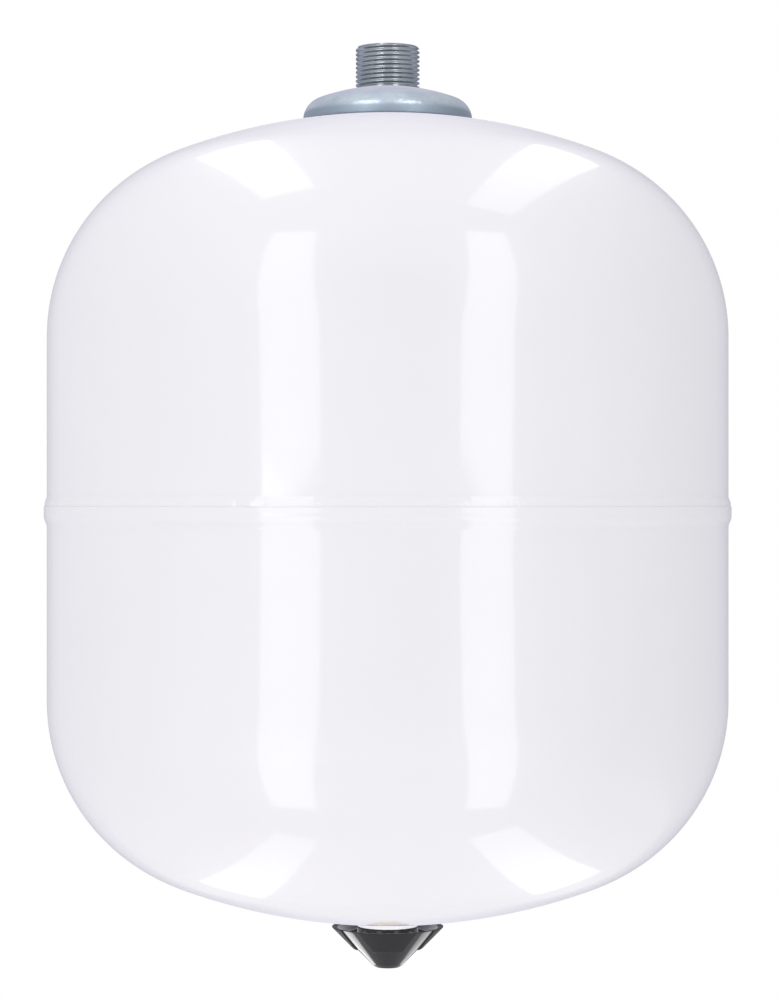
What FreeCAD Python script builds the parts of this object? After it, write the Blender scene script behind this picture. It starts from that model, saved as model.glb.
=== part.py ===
"""Expansion vessel, 18 litre, for potable water: a welded steel shell with a diaphragm inside.

Frame: millimetres, +Z up along the vessel's axis, origin at the centre of the nipple's mouth.
Everything lies below the mouth, so a sketch gives each corner as a radius and a depth below
the sub-part's own datum, and the body's Placement puts that datum at its depth below the mouth.
"""

import FreeCAD, Part
import math
import os
import re

import Sketcher

doc = FreeCAD.newDocument("ExpansionVessel")
sizes = doc.addObject("Spreadsheet::Sheet", "Sizes")

# ---------------------------------------------------------------- driving dimensions

DRIVING = [
    # shell: two deep-drawn halves with the same dished ends, joined by a joggled lap and a weld
    ("shell_radius", 140), ("shell_wall", 1.25), ("crown_radius", 245), ("knuckle_radius", 80.5),
    ("shell_top", 28.8), ("shell_length", 332),
    ("lip_depth", 189.6), ("lip_length", 5.2), ("joggle_length", 2.5), ("lap_length", 4.8),
    ("weld_length", 3.9), ("weld_throat", 0.9), ("weld_land", 1),
    # threaded nipple, G 3/4 (British Standard Pipe, 14 threads per inch)
    ("thread_radius", 13.2205), ("thread_pitch", 1.814), ("thread_height", 1.162),
    ("thread_crest", 0.45), ("thread_angle", 55), ("thread_end", 16.9), ("thread_overrun", 0.3),
    ("relief_width", 1.1), ("relief_drop", 0.06), ("relief_slope", 0.3),
    ("mouth_chamfer", 0.9), ("nipple_bore", 9), ("neck_radius", 13.6),
    ("collar_radius", 22), ("collar_top", 35), ("collar_height", 3), ("collar_chamfer", 1),
    # domed clamping flange
    ("flange_radius", 34.9), ("flange_crown", 84), ("flange_knuckle", 9), ("flange_wall", 3),
    ("flange_apex", 16.5), ("flange_rim", 30.4), ("flange_edge", 1), ("flange_edge_round", 1.1),
    ("gasket_radius", 20.5),
    # water side: liner, diaphragm and the clench ring that holds the diaphragm's bead
    ("liner_wall", 1.5), ("liner_edge", 199),
    ("bead_top", 186), ("bead_height", 10), ("bead_round", 1.2), ("bead_inner", 133),
    ("ring_wall", 1.4), ("ring_lip", 1.1), ("ring_overhang", 1.4),
    ("wall_inner", 134.7), ("rubber_wall", 2), ("membrane_crown", 240),
    ("membrane_knuckle", 75), ("membrane_top", 38.4),
    # gas side: boss, its weld, and the tank valve
    ("boss_radius", 12.5), ("boss_shoulder", 363), ("boss_head_radius", 17), ("boss_head", 3),
    ("spigot_radius", 9), ("spigot_length", 8.4), ("boss_bore", 5), ("boss_chamfer", 0.8),
    ("spigot_pitch", 1.5), ("spigot_thread_height", 0.8), ("spigot_grooves", 5),
    ("spigot_groove_mouth", 1.3), ("spigot_groove_root", 0.2), ("boss_weld_leg", 2.1),
    ("seal_thickness", 0.8), ("seal_inset", 2),
    ("valve_flats", 11), ("valve_flange", 1.8), ("stem_radius", 3.85),
    ("stem_length", 3), ("core_bore", 2.3), ("core_bore_length", 12.6), ("gas_bore", 1.6),
    ("shank_length", 14.4), ("stem_chamfer", 0.4),
    ("core_radius", 2.2), ("core_inner", 1.35), ("core_guide", 0.95), ("core_length", 8),
    ("core_recess", 1), ("core_neck_radius", 1.7), ("core_neck", 1.4), ("core_shoulder", 0.4),
    ("core_gap", 0.1), ("core_seal_chamfer", 0.3), ("guide_length", 0.7),
    ("pin_radius", 0.75), ("pin_length", 10.2), ("pin_recess", 0.4), ("pin_chamfer", 0.3),
    ("cup_radius", 1.5), ("cup_height", 0.8), ("pin_seal", 0.75), ("spring_seat_radius", 1.2),
    ("spring_seat", 0.4), ("spring_seat_height", 1.9),
    ("spring_radius", 1.06), ("spring_wire", 0.13), ("spring_turns", 8),
    # conical cap with four grip lugs
    ("cap_top", 363.2), ("cap_radius", 22), ("cap_tip_radius", 5.3), ("cap_height", 16.8),
    ("lug_radius", 23.2), ("lug_end_radius", 14.3), ("lug_end", 9.1), ("lug_slot", 9.6),
    ("lug_count", 4), ("cap_skin", 2), ("cap_collar", 12.6), ("cap_thread_radius", 9.3),
    ("cap_thread_length", 8.8), ("cap_cavity", 8.3), ("cap_cavity_end", 5.2),
    ("cap_cavity_depth", 14.2), ("cap_tip_round", 0.8), ("rib_width", 1.2), ("rib_count", 8),
    ("rib_drop", 0.8), ("rib_overlap", 0.3), ("relief_depth", 5.5),
    ("ring_seat_radius", 11.4), ("ring_seat_depth", 1.3), ("oring_gap", 0.1),
    ("oring_chamfer", 0.3),
    # how far a cutting outline runs past the solid that it cuts
    ("overshoot", 1), ("thread_overshoot", 0.2),
]

# a thread's blank is turned in sectors, so that its crest is left as separate convex faces
THREAD_SECTORS = 8
HEX_SIDES = 6

for row, (alias, value) in enumerate(DRIVING, start=1):
    sizes.set(f"A{row}", alias)
    sizes.set(f"B{row}", str(value))
    sizes.setAlias(f"B{row}", alias)
doc.recompute()

ALIASES = {alias for alias, value in DRIVING}


# ---------------------------------------------------------------- drawing helpers

def bound(expression):
    """An expression in the sheet's aliases, as FreeCAD writes it."""
    return re.sub(r"(?<![.\w])[a-z_]+", lambda m: f"Sizes.{m[0]}" if m[0] in ALIASES else m[0],
                  str(expression))


def number(expression):
    """The present value of an expression in the sheet's aliases."""
    value = sizes.evalExpression(bound(expression))
    return float(getattr(value, "Value", value))


def origin_feature(body, role):
    return next(f for f in body.Origin.OriginFeatures if f.Role == role)


def new_body(name, datum="0"):
    """A body whose own origin is at a depth below the nipple's mouth."""
    body = doc.addObject("PartDesign::Body", name)
    body.Label = name
    body.setExpression("Placement.Base.z", f"-({bound(datum)})")
    return body


def new_sketch(body, name, role="XZ_Plane"):
    sketch = body.newObject("Sketcher::SketchObject", name)
    sketch.AttachmentSupport = [(origin_feature(body, role), "")]
    sketch.MapMode = "FlatFace"
    return sketch


def bind(sketch, constraint, expression):
    """Add a dimension and drive it from the sheet."""
    index = sketch.addConstraint(constraint)
    label = f"size{index}"
    sketch.renameConstraint(index, label)
    sketch.setExpression(f"Constraints.{label}", bound(expression))


def arc_between(start, end, radius, side):
    """The minor arc from start to end; side +1 puts its centre on the left of the way there."""
    chord = end - start
    middle = (start + end) * 0.5
    left = FreeCAD.Vector(-chord.y, chord.x, 0).normalize()
    centre = middle + left * (side * math.sqrt(radius ** 2 - (chord.Length / 2) ** 2))
    first, last = (start, end) if side > 0 else (end, start)
    angles = [math.atan2(p.y - centre.y, p.x - centre.x) for p in (first, last)]
    circle = Part.Circle(centre, FreeCAD.Vector(0, 0, 1), radius)
    return Part.ArcOfCircle(circle, angles[0], angles[1])


def draw_outline(sketch, corners):
    """A closed outline through corners (radius, depth) or (radius, depth, arc radius, side).

    A corner with an arc radius is followed by an arc, any other by a straight line. Every corner
    and radius is a dimension driven from the sheet.
    """
    places = [FreeCAD.Vector(number(c[0]), -number(c[1]), 0) for c in corners]
    starts, ends = [], []
    for i, corner in enumerate(corners):
        here, there = places[i], places[(i + 1) % len(corners)]
        if len(corner) == 2:
            geometry = sketch.addGeometry(Part.LineSegment(here, there))
            starts.append((geometry, 1))
            ends.append((geometry, 2))
            continue
        radius, side = corner[2], corner[3]
        geometry = sketch.addGeometry(arc_between(here, there, number(radius), side))
        starts.append((geometry, 1 if side > 0 else 2))
        ends.append((geometry, 2 if side > 0 else 1))
    for i in range(len(corners)):
        sketch.addConstraint(Sketcher.Constraint("Coincident", *ends[i - 1], *starts[i]))
    for corner, place, start in zip(corners, places, starts):
        if abs(place.x) < 1e-9:
            sketch.addConstraint(Sketcher.Constraint("PointOnObject", *start, -2))
        else:
            bind(sketch, Sketcher.Constraint("DistanceX", -1, 1, *start, place.x), corner[0])
        if abs(place.y) < 1e-9:
            sketch.addConstraint(Sketcher.Constraint("PointOnObject", *start, -1))
        else:
            bind(sketch, Sketcher.Constraint("DistanceY", *start, -1, 1, -place.y), corner[1])
        if len(corner) == 4:
            bind(sketch, Sketcher.Constraint("Radius", start[0], number(corner[2])), corner[2])


def revolve(body, name, corners, kind="Revolution", angle=360):
    """Turn an outline about the vessel's axis, adding or cutting."""
    sketch = new_sketch(body, name + "_outline")
    draw_outline(sketch, corners)
    feature = body.newObject("PartDesign::" + kind, name)
    feature.Profile = sketch
    feature.ReferenceAxis = (sketch, ["V_Axis"])
    feature.Angle = angle
    sketch.Visibility = False
    return feature


def turned(name, corners, datum="0"):
    """A sub-part that is one turned, pressed or moulded ring."""
    body = new_body(name, datum)
    revolve(body, "turn", corners)
    return body


def pattern(body, original, count, name):
    """Repeat a feature round the vessel's axis."""
    feature = body.newObject("PartDesign::PolarPattern", name)
    feature.Originals = [original]
    feature.Axis = (origin_feature(body, "Z_Axis"), [""])
    feature.Angle = 360
    feature.setExpression("Occurrences", bound(count))
    body.Tip = feature
    return feature


def helical_groove(body, name, crest_radius, height, crest, pitch, length):
    """Cut a right-hand vee thread down from one pitch above the body's origin."""
    sketch = new_sketch(body, name + "_vee")
    slope = "tan(thread_angle / 2 * 1 deg)"
    half_top = f"(({pitch}) - ({crest})) / 2"
    half_root = f"({half_top}) - ({height}) * {slope}"
    half_over = f"({half_top}) + thread_overshoot * {slope}"
    draw_vee = [
        (f"({crest_radius}) - ({height})", half_root, -1),
        (f"({crest_radius}) - ({height})", half_root, 1),
        (f"({crest_radius}) + thread_overshoot", half_over, 1),
        (f"({crest_radius}) + thread_overshoot", half_over, -1),
    ]
    places = [FreeCAD.Vector(number(r), number(pitch) + way * number(w), 0)
              for r, w, way in draw_vee]
    for i in range(4):
        sketch.addGeometry(Part.LineSegment(places[i], places[(i + 1) % 4]))
    for i, (radius, half, way) in enumerate(draw_vee):
        sketch.addConstraint(Sketcher.Constraint("Coincident", (i - 1) % 4, 2, i, 1))
        bind(sketch, Sketcher.Constraint("DistanceX", -1, 1, i, 1, places[i].x), radius)
        sign = "+" if way > 0 else "-"
        bind(sketch, Sketcher.Constraint("DistanceY", -1, 1, i, 1, places[i].y),
             f"({pitch}) {sign} ({half})")
    thread = body.newObject("PartDesign::SubtractiveHelix", name)
    thread.Profile = sketch
    thread.ReferenceAxis = (origin_feature(body, "Z_Axis"), [""])
    thread.Mode = 0
    thread.setExpression("Pitch", bound(pitch))
    thread.setExpression("Height", bound(length))
    thread.LeftHanded = False
    thread.Reversed = True
    thread.Refine = False
    sketch.Visibility = False
    return thread


# ---------------------------------------------------------------- dished ends

def dished_end(apex, radius, crown, knuckle, way):
    """Depths and radii where a dished end's crown meets its knuckle, and the knuckle its wall.

    way is +1 for an end whose apex is its highest point and -1 for one whose apex is lowest.
    """
    reach = f"(({crown}) - ({knuckle}))"
    offset = f"(({radius}) - ({knuckle}))"
    rise = f"sqrt({reach} ^ 2 - {offset} ^ 2)"
    sign = "+" if way > 0 else "-"
    join_radius = f"({crown}) * {offset} / {reach}"
    join_depth = f"({apex}) {sign} ({crown}) * (1 - {rise} / {reach})"
    wall_depth = f"({apex}) {sign} (({crown}) - {rise})"
    return join_radius, join_depth, wall_depth


def on_sphere(apex, crown, radius, way):
    """Depth of a crown of the given apex at a radius."""
    sign = "+" if way > 0 else "-"
    return f"({apex}) {sign} (({crown}) - sqrt(({crown}) ^ 2 - ({radius}) ^ 2))"


def bowl(top, radius, crown, knuckle, wall, hole, edge, way):
    """Outline of a dished bowl of constant wall, from its central hole to a plain edge."""
    inner = [f"({value}) - ({wall})" for value in (radius, crown, knuckle)]
    sign = "+" if way > 0 else "-"
    inner_top = f"({top}) {sign} ({wall})"
    join_r, join_d, wall_d = dished_end(top, radius, crown, knuckle, way)
    join_ri, join_di, wall_di = dished_end(inner_top, *inner, way)
    return [
        (hole, on_sphere(top, crown, hole, way), crown, -way),
        (join_r, join_d, knuckle, -way),
        (radius, wall_d),
        (radius, edge),
        (inner[0], edge),
        (inner[0], wall_di, inner[2], way),
        (join_ri, join_di, inner[1], way),
        (hole, on_sphere(inner_top, inner[1], hole, way)),
    ]


SHELL = ("shell_radius", "crown_radius", "knuckle_radius")
SHELL_INSIDE = tuple(f"{size} - shell_wall" for size in SHELL)
SHELL_INNER_TOP = "shell_top + shell_wall"
SHELL_BOTTOM = "shell_top + shell_length"


# ---------------------------------------------------------------- shell

def upper_shell():
    """Deep-drawn upper half, with the nipple's hole; its plain edge enters the lower half's lip."""
    edge = "lip_depth + lap_length"
    body = new_body("upper_shell")
    revolve(body, "drawn_cup",
            bowl("shell_top", *SHELL, "shell_wall", "neck_radius", edge, 1))


def lower_shell():
    """Deep-drawn lower half; its edge is joggled outward to lap over the upper half."""
    outline = bowl(SHELL_BOTTOM, *SHELL, "shell_wall", "boss_radius", "lip_depth", -1)
    lip_end = "lip_depth + lip_length"
    joggle_end = f"{lip_end} + joggle_length"
    lip = [
        ("shell_radius", joggle_end),
        ("shell_radius + shell_wall", lip_end),
        ("shell_radius + shell_wall", "lip_depth"),
        ("shell_radius", "lip_depth"),
        ("shell_radius", lip_end),
        ("shell_radius - shell_wall", joggle_end),
    ]
    body = new_body("lower_shell")
    revolve(body, "drawn_cup", outline[:3] + lip + outline[5:])


def seam_weld():
    """Fillet weld from the lip's edge up onto the upper half."""
    turned("seam_weld", [
        ("shell_radius", 0),
        ("shell_radius", "weld_length"),
        ("shell_radius + weld_throat", "weld_length"),
        ("shell_radius + weld_throat", "weld_length - weld_land", "weld_length * 2", 1),
    ], "lip_depth - weld_length")


# ---------------------------------------------------------------- water connection

def threaded_nipple():
    """Turned nipple: thread, relief, pressed neck and the inner collar that clamps the shell."""
    root = "thread_radius - thread_height - relief_drop"
    relief_end = "thread_end + relief_width"
    collar_end = "collar_top + collar_height"
    body = new_body("threaded_nipple")
    blank = revolve(body, "blank", [
        ("nipple_bore", 0),
        ("thread_radius - mouth_chamfer", 0),
        ("thread_radius", "mouth_chamfer"),
        ("thread_radius", "thread_end"),
        (root, "thread_end + relief_slope"),
        (root, relief_end),
        ("neck_radius", relief_end),
        ("neck_radius", "collar_top"),
        ("collar_radius", "collar_top"),
        ("collar_radius", f"{collar_end} - collar_chamfer"),
        ("collar_radius - collar_chamfer", collar_end),
        ("nipple_bore", collar_end),
    ], angle=360 / THREAD_SECTORS)
    blank.Refine = False
    turn = body.newObject("PartDesign::PolarPattern", "full_turn")
    turn.Originals = [blank]
    turn.Axis = (origin_feature(body, "Z_Axis"), [""])
    turn.Angle = 360
    turn.Occurrences = THREAD_SECTORS
    turn.Refine = False
    body.Tip = turn
    thread = helical_groove(body, "thread", "thread_radius", "thread_height", "thread_crest",
                            "thread_pitch", "thread_end + (1 + thread_overrun) * thread_pitch")
    body.Tip = thread


def connection_flange():
    """Pressed steel disc, domed, that the neck carries down onto the shell's crown."""
    radius, crown, knuckle = "flange_radius", "flange_crown", "flange_knuckle"
    hole, wall, apex = "neck_radius", "flange_wall", "flange_apex"
    inner = [f"{size} - {wall}" for size in (radius, crown, knuckle)]
    join_r, join_d, wall_d = dished_end(apex, radius, crown, knuckle, 1)
    join_ri, join_di, wall_di = dished_end(f"{apex} + {wall}", *inner, 1)
    foot = f"{radius} - flange_edge"
    turned("connection_flange", [
        (hole, on_sphere(apex, crown, hole, 1), crown, -1),
        (join_r, join_d, knuckle, -1),
        (radius, wall_d),
        (radius, "flange_rim", "flange_edge_round", -1),
        (foot, on_sphere("shell_top", "crown_radius", foot, 1), "crown_radius", 1),
        (inner[0], on_sphere("shell_top", "crown_radius", inner[0], 1)),
        (inner[0], wall_di, inner[2], 1),
        (join_ri, join_di, inner[1], 1),
        (hole, on_sphere(f"{apex} + {wall}", inner[1], hole, 1)),
    ])


def connection_gasket():
    """Rubber ring between the liner's crown and the nipple's collar."""
    crown = "crown_radius - shell_wall - liner_wall"
    apex = f"{SHELL_INNER_TOP} + liner_wall"
    turned("connection_gasket", [
        ("neck_radius", on_sphere(apex, crown, "neck_radius", 1), crown, -1),
        ("gasket_radius", on_sphere(apex, crown, "gasket_radius", 1)),
        ("gasket_radius", "collar_top"),
        ("neck_radius", "collar_top"),
    ])


# ---------------------------------------------------------------- liner and diaphragm

def water_liner():
    """Plastic liner that keeps the water off the upper half."""
    body = new_body("water_liner")
    revolve(body, "moulding", bowl(SHELL_INNER_TOP, *SHELL_INSIDE, "liner_wall",
                                   "neck_radius", "liner_edge", 1))


LINER_INSIDE = "shell_radius - shell_wall - liner_wall"
WALL_OUTER = "wall_inner + rubber_wall"
MEMBRANE = (WALL_OUTER, "membrane_crown", "membrane_knuckle")
MEMBRANE_EDGE = dished_end("membrane_top", *MEMBRANE, 1)[2]


def diaphragm_bead():
    """The diaphragm's thick edge, pressed against the liner."""
    round_off = "bead_round"
    turned("diaphragm_bead", [
        (f"bead_inner + {round_off}", 0),
        (LINER_INSIDE, 0),
        (LINER_INSIDE, "bead_height"),
        (f"bead_inner + {round_off}", "bead_height", round_off, -1),
        ("bead_inner", f"bead_height - {round_off}"),
        ("bead_inner", round_off, round_off, -1),
    ], "bead_top")


def clench_ring():
    """Steel band sprung out behind the bead, with its two edges turned over it."""
    lip = "bead_inner + ring_overhang"
    inside = "bead_inner - ring_wall"
    turned("clench_ring", [
        (inside, 0),
        (lip, 0),
        (lip, "ring_lip"),
        ("bead_inner", "ring_lip"),
        ("bead_inner", "ring_lip + bead_height"),
        (lip, "ring_lip + bead_height"),
        (lip, "2 * ring_lip + bead_height"),
        (inside, "2 * ring_lip + bead_height"),
    ], "bead_top - ring_lip")


def diaphragm_wall():
    """The rolling wall of the diaphragm, from its bead up to its crown."""
    turned("diaphragm_wall", [
        ("wall_inner", 0),
        (WALL_OUTER, 0),
        (WALL_OUTER, f"bead_top - ({MEMBRANE_EDGE})"),
        ("wall_inner", f"bead_top - ({MEMBRANE_EDGE})"),
    ], MEMBRANE_EDGE)


def diaphragm_crown():
    """The dished middle of the diaphragm, which the gas holds up under the liner."""
    inner = [f"{size} - rubber_wall" for size in MEMBRANE]
    inner_top = "membrane_top + rubber_wall"
    join_r, join_d, wall_d = dished_end("membrane_top", *MEMBRANE, 1)
    join_ri, join_di, wall_di = dished_end(inner_top, *inner, 1)
    body = new_body("diaphragm_crown")
    revolve(body, "moulding", [
        (0, "membrane_top", "membrane_crown", -1),
        (join_r, join_d, "membrane_knuckle", -1),
        (WALL_OUTER, wall_d),
        (inner[0], wall_di, inner[2], 1),
        (join_ri, join_di, inner[1], 1),
        (0, inner_top),
    ])


# ---------------------------------------------------------------- gas valve

BOSS_SEAT = on_sphere(f"{SHELL_BOTTOM} - shell_wall", SHELL_INSIDE[1], "boss_radius", -1)
SPIGOT_END = "boss_shoulder + spigot_length"
VALVE_FACE = f"{SPIGOT_END} + seal_thickness"
STEM_BASE = f"{VALVE_FACE} + valve_flange"
STEM_END = f"{STEM_BASE} + stem_length"


def valve_boss():
    """Turned steel boss: its head lies inside the shell and its threaded spigot takes the cap."""
    inside_apex = f"{SHELL_BOTTOM} - shell_wall"
    head_rim = on_sphere(inside_apex, SHELL_INSIDE[1], "boss_head_radius", -1)
    head_top = f"{head_rim} - boss_head"
    body = new_body("valve_boss", "boss_shoulder")

    def local(depth):
        return f"({depth}) - boss_shoulder"

    revolve(body, "blank", [
        ("boss_bore", local(head_top)),
        ("boss_head_radius", local(head_top)),
        ("boss_head_radius", local(head_rim), SHELL_INSIDE[1], -1),
        ("boss_radius", local(BOSS_SEAT)),
        ("boss_radius", 0),
        ("spigot_radius", 0),
        ("spigot_radius", "spigot_length - boss_chamfer"),
        ("spigot_radius - boss_chamfer", "spigot_length"),
        ("boss_bore", "spigot_length"),
    ])
    mouth, root = "spigot_groove_mouth / 2", "spigot_groove_root / 2"
    groove = revolve(body, "first_groove", [
        ("spigot_radius + thread_overshoot", f"spigot_pitch - {mouth}"),
        ("spigot_radius - spigot_thread_height", f"spigot_pitch - {root}"),
        ("spigot_radius - spigot_thread_height", f"spigot_pitch + {root}"),
        ("spigot_radius + thread_overshoot", f"spigot_pitch + {mouth}"),
    ], "Groove")
    rows = body.newObject("PartDesign::LinearPattern", "grooves")
    rows.Originals = [groove]
    rows.Direction = (origin_feature(body, "Z_Axis"), [""])
    rows.Reversed = True
    rows.setExpression("Length", bound("(spigot_grooves - 1) * spigot_pitch"))
    rows.setExpression("Occurrences", bound("spigot_grooves"))
    body.Tip = rows


def boss_weld():
    """Fillet weld between the boss and the shell's outside."""
    foot = "boss_radius + boss_weld_leg"
    turned("boss_weld", [
        ("boss_radius", on_sphere(SHELL_BOTTOM, "crown_radius", "boss_radius", -1),
         "crown_radius", -1),
        (foot, on_sphere(SHELL_BOTTOM, "crown_radius", foot, -1), "2 * boss_weld_leg", 1),
        ("boss_radius", f"{SHELL_BOTTOM} + boss_weld_leg"),
    ])


def valve_body():
    """Brass tank valve: shank pressed in the boss, hexagon, and the stem that takes the pump."""
    body = new_body("valve_body", VALVE_FACE)
    revolve(body, "shank", [
        ("gas_bore", "-shank_length"),
        ("boss_bore", "-shank_length"),
        ("boss_bore", "valve_flange / 2"),
        ("gas_bore", "valve_flange / 2"),
    ])
    sketch = new_sketch(body, "hexagon", "XY_Plane")
    corner = number("valve_flats / sqrt(3)")
    turns = [i * 2 * math.pi / HEX_SIDES for i in range(HEX_SIDES)]
    places = [FreeCAD.Vector(corner * math.cos(t), corner * math.sin(t), 0) for t in turns]
    for i in range(HEX_SIDES):
        sketch.addGeometry(Part.LineSegment(places[i], places[(i + 1) % HEX_SIDES]))
    circle = Part.Circle(FreeCAD.Vector(0, 0, 0), FreeCAD.Vector(0, 0, 1), corner)
    ring = sketch.addGeometry(circle, True)
    sketch.addConstraint(Sketcher.Constraint("Coincident", ring, 3, -1, 1))
    for i in range(HEX_SIDES):
        sketch.addConstraint(Sketcher.Constraint("Coincident", (i - 1) % HEX_SIDES, 2, i, 1))
    for i in range(HEX_SIDES):
        sketch.addConstraint(Sketcher.Constraint("PointOnObject", i, 1, ring))
    for i in range(HEX_SIDES - 1):
        sketch.addConstraint(Sketcher.Constraint("Equal", i, i + 1))
    sketch.addConstraint(Sketcher.Constraint("PointOnObject", 0, 1, -1))
    bind(sketch, Sketcher.Constraint("Radius", ring, corner), "valve_flats / sqrt(3)")
    flats = body.newObject("PartDesign::Pad", "flats")
    flats.Profile = sketch
    flats.Reversed = True
    flats.setExpression("Length", bound("valve_flange"))
    revolve(body, "stem", [
        ("gas_bore", "valve_flange / 2"),
        ("stem_radius", "valve_flange / 2"),
        ("stem_radius", "valve_flange + stem_length - stem_chamfer"),
        ("stem_radius - stem_chamfer", "valve_flange + stem_length"),
        ("gas_bore", "valve_flange + stem_length"),
    ])
    bore_top = "valve_flange + stem_length - core_bore_length"
    revolve(body, "core_bore_cut", [
        (0, bore_top),
        ("core_bore", bore_top),
        ("core_bore", "valve_flange + stem_length + overshoot"),
        (0, "valve_flange + stem_length + overshoot"),
    ], "Groove")
    revolve(body, "gas_bore_cut", [
        (0, "-shank_length - overshoot"),
        ("gas_bore", "-shank_length - overshoot"),
        ("gas_bore", bore_top),
        (0, bore_top),
    ], "Groove")


def valve_body_seal():
    """Flat ring between the boss's end and the valve's hexagon."""
    turned("valve_body_seal", [
        ("boss_bore", 0),
        ("spigot_radius - seal_inset", 0),
        ("spigot_radius - seal_inset", "seal_thickness"),
        ("boss_bore", "seal_thickness"),
    ], SPIGOT_END)


CORE_BOTTOM = f"{STEM_END} - core_recess"
CORE_TOP = f"{CORE_BOTTOM} - core_length"
PIN_BOTTOM = f"{STEM_END} - pin_recess"
NECK_INNER = "core_guide + core_gap"


def valve_core_body():
    """Brass sleeve of the valve core: neck and seat at the top, the pin's guide at the mouth."""
    turned("valve_core_body", [
        (NECK_INNER, 0),
        ("core_neck_radius", 0),
        ("core_neck_radius", "core_neck"),
        ("core_radius", "core_neck"),
        ("core_radius", "core_length"),
        ("core_guide", "core_length"),
        ("core_guide", "core_length - guide_length"),
        ("core_inner", "core_length - guide_length"),
        ("core_inner", "core_neck + core_shoulder"),
        (NECK_INNER, "core_neck"),
    ], CORE_TOP)


def valve_core_seal():
    """Ring on the core's neck that seals it in the valve body."""
    end = "core_neck - 2 * core_gap"
    turned("valve_core_seal", [
        ("core_neck_radius", 0),
        ("core_bore - core_gap", 0),
        ("core_bore", "core_seal_chamfer"),
        ("core_bore", f"{end} - core_seal_chamfer"),
        ("core_bore - core_gap", end),
        ("core_neck_radius", end),
    ], f"{CORE_TOP} + core_gap")


def valve_pin():
    """Pin of the valve core, with the cup at its inner end and the spring's lower seat."""
    seat_top = "pin_length - spring_seat_height - spring_seat"
    turned("valve_pin", [
        (0, 0),
        ("cup_radius", 0),
        ("cup_radius", "cup_height"),
        ("pin_radius", "cup_height"),
        ("pin_radius", seat_top),
        ("spring_seat_radius", seat_top),
        ("spring_seat_radius", f"{seat_top} + spring_seat"),
        ("pin_radius", f"{seat_top} + spring_seat"),
        ("pin_radius", "pin_length - pin_chamfer"),
        ("pin_radius - pin_chamfer", "pin_length"),
        (0, "pin_length"),
    ], f"{PIN_BOTTOM} - pin_length")


def valve_pin_seal():
    """Rubber washer under the cup; it closes on the core's neck."""
    turned("valve_pin_seal", [
        ("pin_radius", 0),
        ("cup_radius", 0),
        ("cup_radius", "pin_seal"),
        ("pin_radius", "pin_seal"),
    ], f"{PIN_BOTTOM} - pin_length + cup_height")


SPRING_TOP = f"{CORE_TOP} + core_neck + core_shoulder"
SPRING_BOTTOM = f"{PIN_BOTTOM} - spring_seat_height - spring_seat"
SPRING_SPAN = f"({SPRING_BOTTOM}) - ({SPRING_TOP}) - 2 * spring_wire"


def valve_spring():
    """Coil spring round the pin, between the core's neck and the pin's seat."""
    body = new_body("valve_spring", f"{SPRING_BOTTOM} - spring_wire")
    sketch = new_sketch(body, "wire")
    place = FreeCAD.Vector(number("spring_radius"), 0, 0)
    wire = sketch.addGeometry(Part.Circle(place, FreeCAD.Vector(0, 0, 1), number("spring_wire")))
    sketch.addConstraint(Sketcher.Constraint("PointOnObject", wire, 3, -1))
    bind(sketch, Sketcher.Constraint("DistanceX", -1, 1, wire, 3, place.x), "spring_radius")
    bind(sketch, Sketcher.Constraint("Radius", wire, number("spring_wire")), "spring_wire")
    coil = body.newObject("PartDesign::AdditiveHelix", "coil")
    coil.Profile = sketch
    coil.ReferenceAxis = (origin_feature(body, "Z_Axis"), [""])
    coil.Mode = 1
    coil.setExpression("Height", bound(SPRING_SPAN))
    coil.setExpression("Turns", bound("spring_turns"))
    coil.setExpression("Pitch", bound(f"({SPRING_SPAN}) / spring_turns"))


# ---------------------------------------------------------------- cap

def cap_seal():
    """Rubber ring that sits in the cap's collar and meets the boss's shoulder."""
    inner = "cap_thread_radius + oring_gap"
    outer = "ring_seat_radius - oring_gap"
    turned("cap_seal", [
        (f"{inner} + oring_chamfer", 0),
        (f"{outer} - oring_chamfer", 0),
        (outer, "oring_chamfer"),
        (outer, "ring_seat_depth"),
        (inner, "ring_seat_depth"),
        (inner, "oring_chamfer"),
    ], "boss_shoulder + oring_gap")


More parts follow.
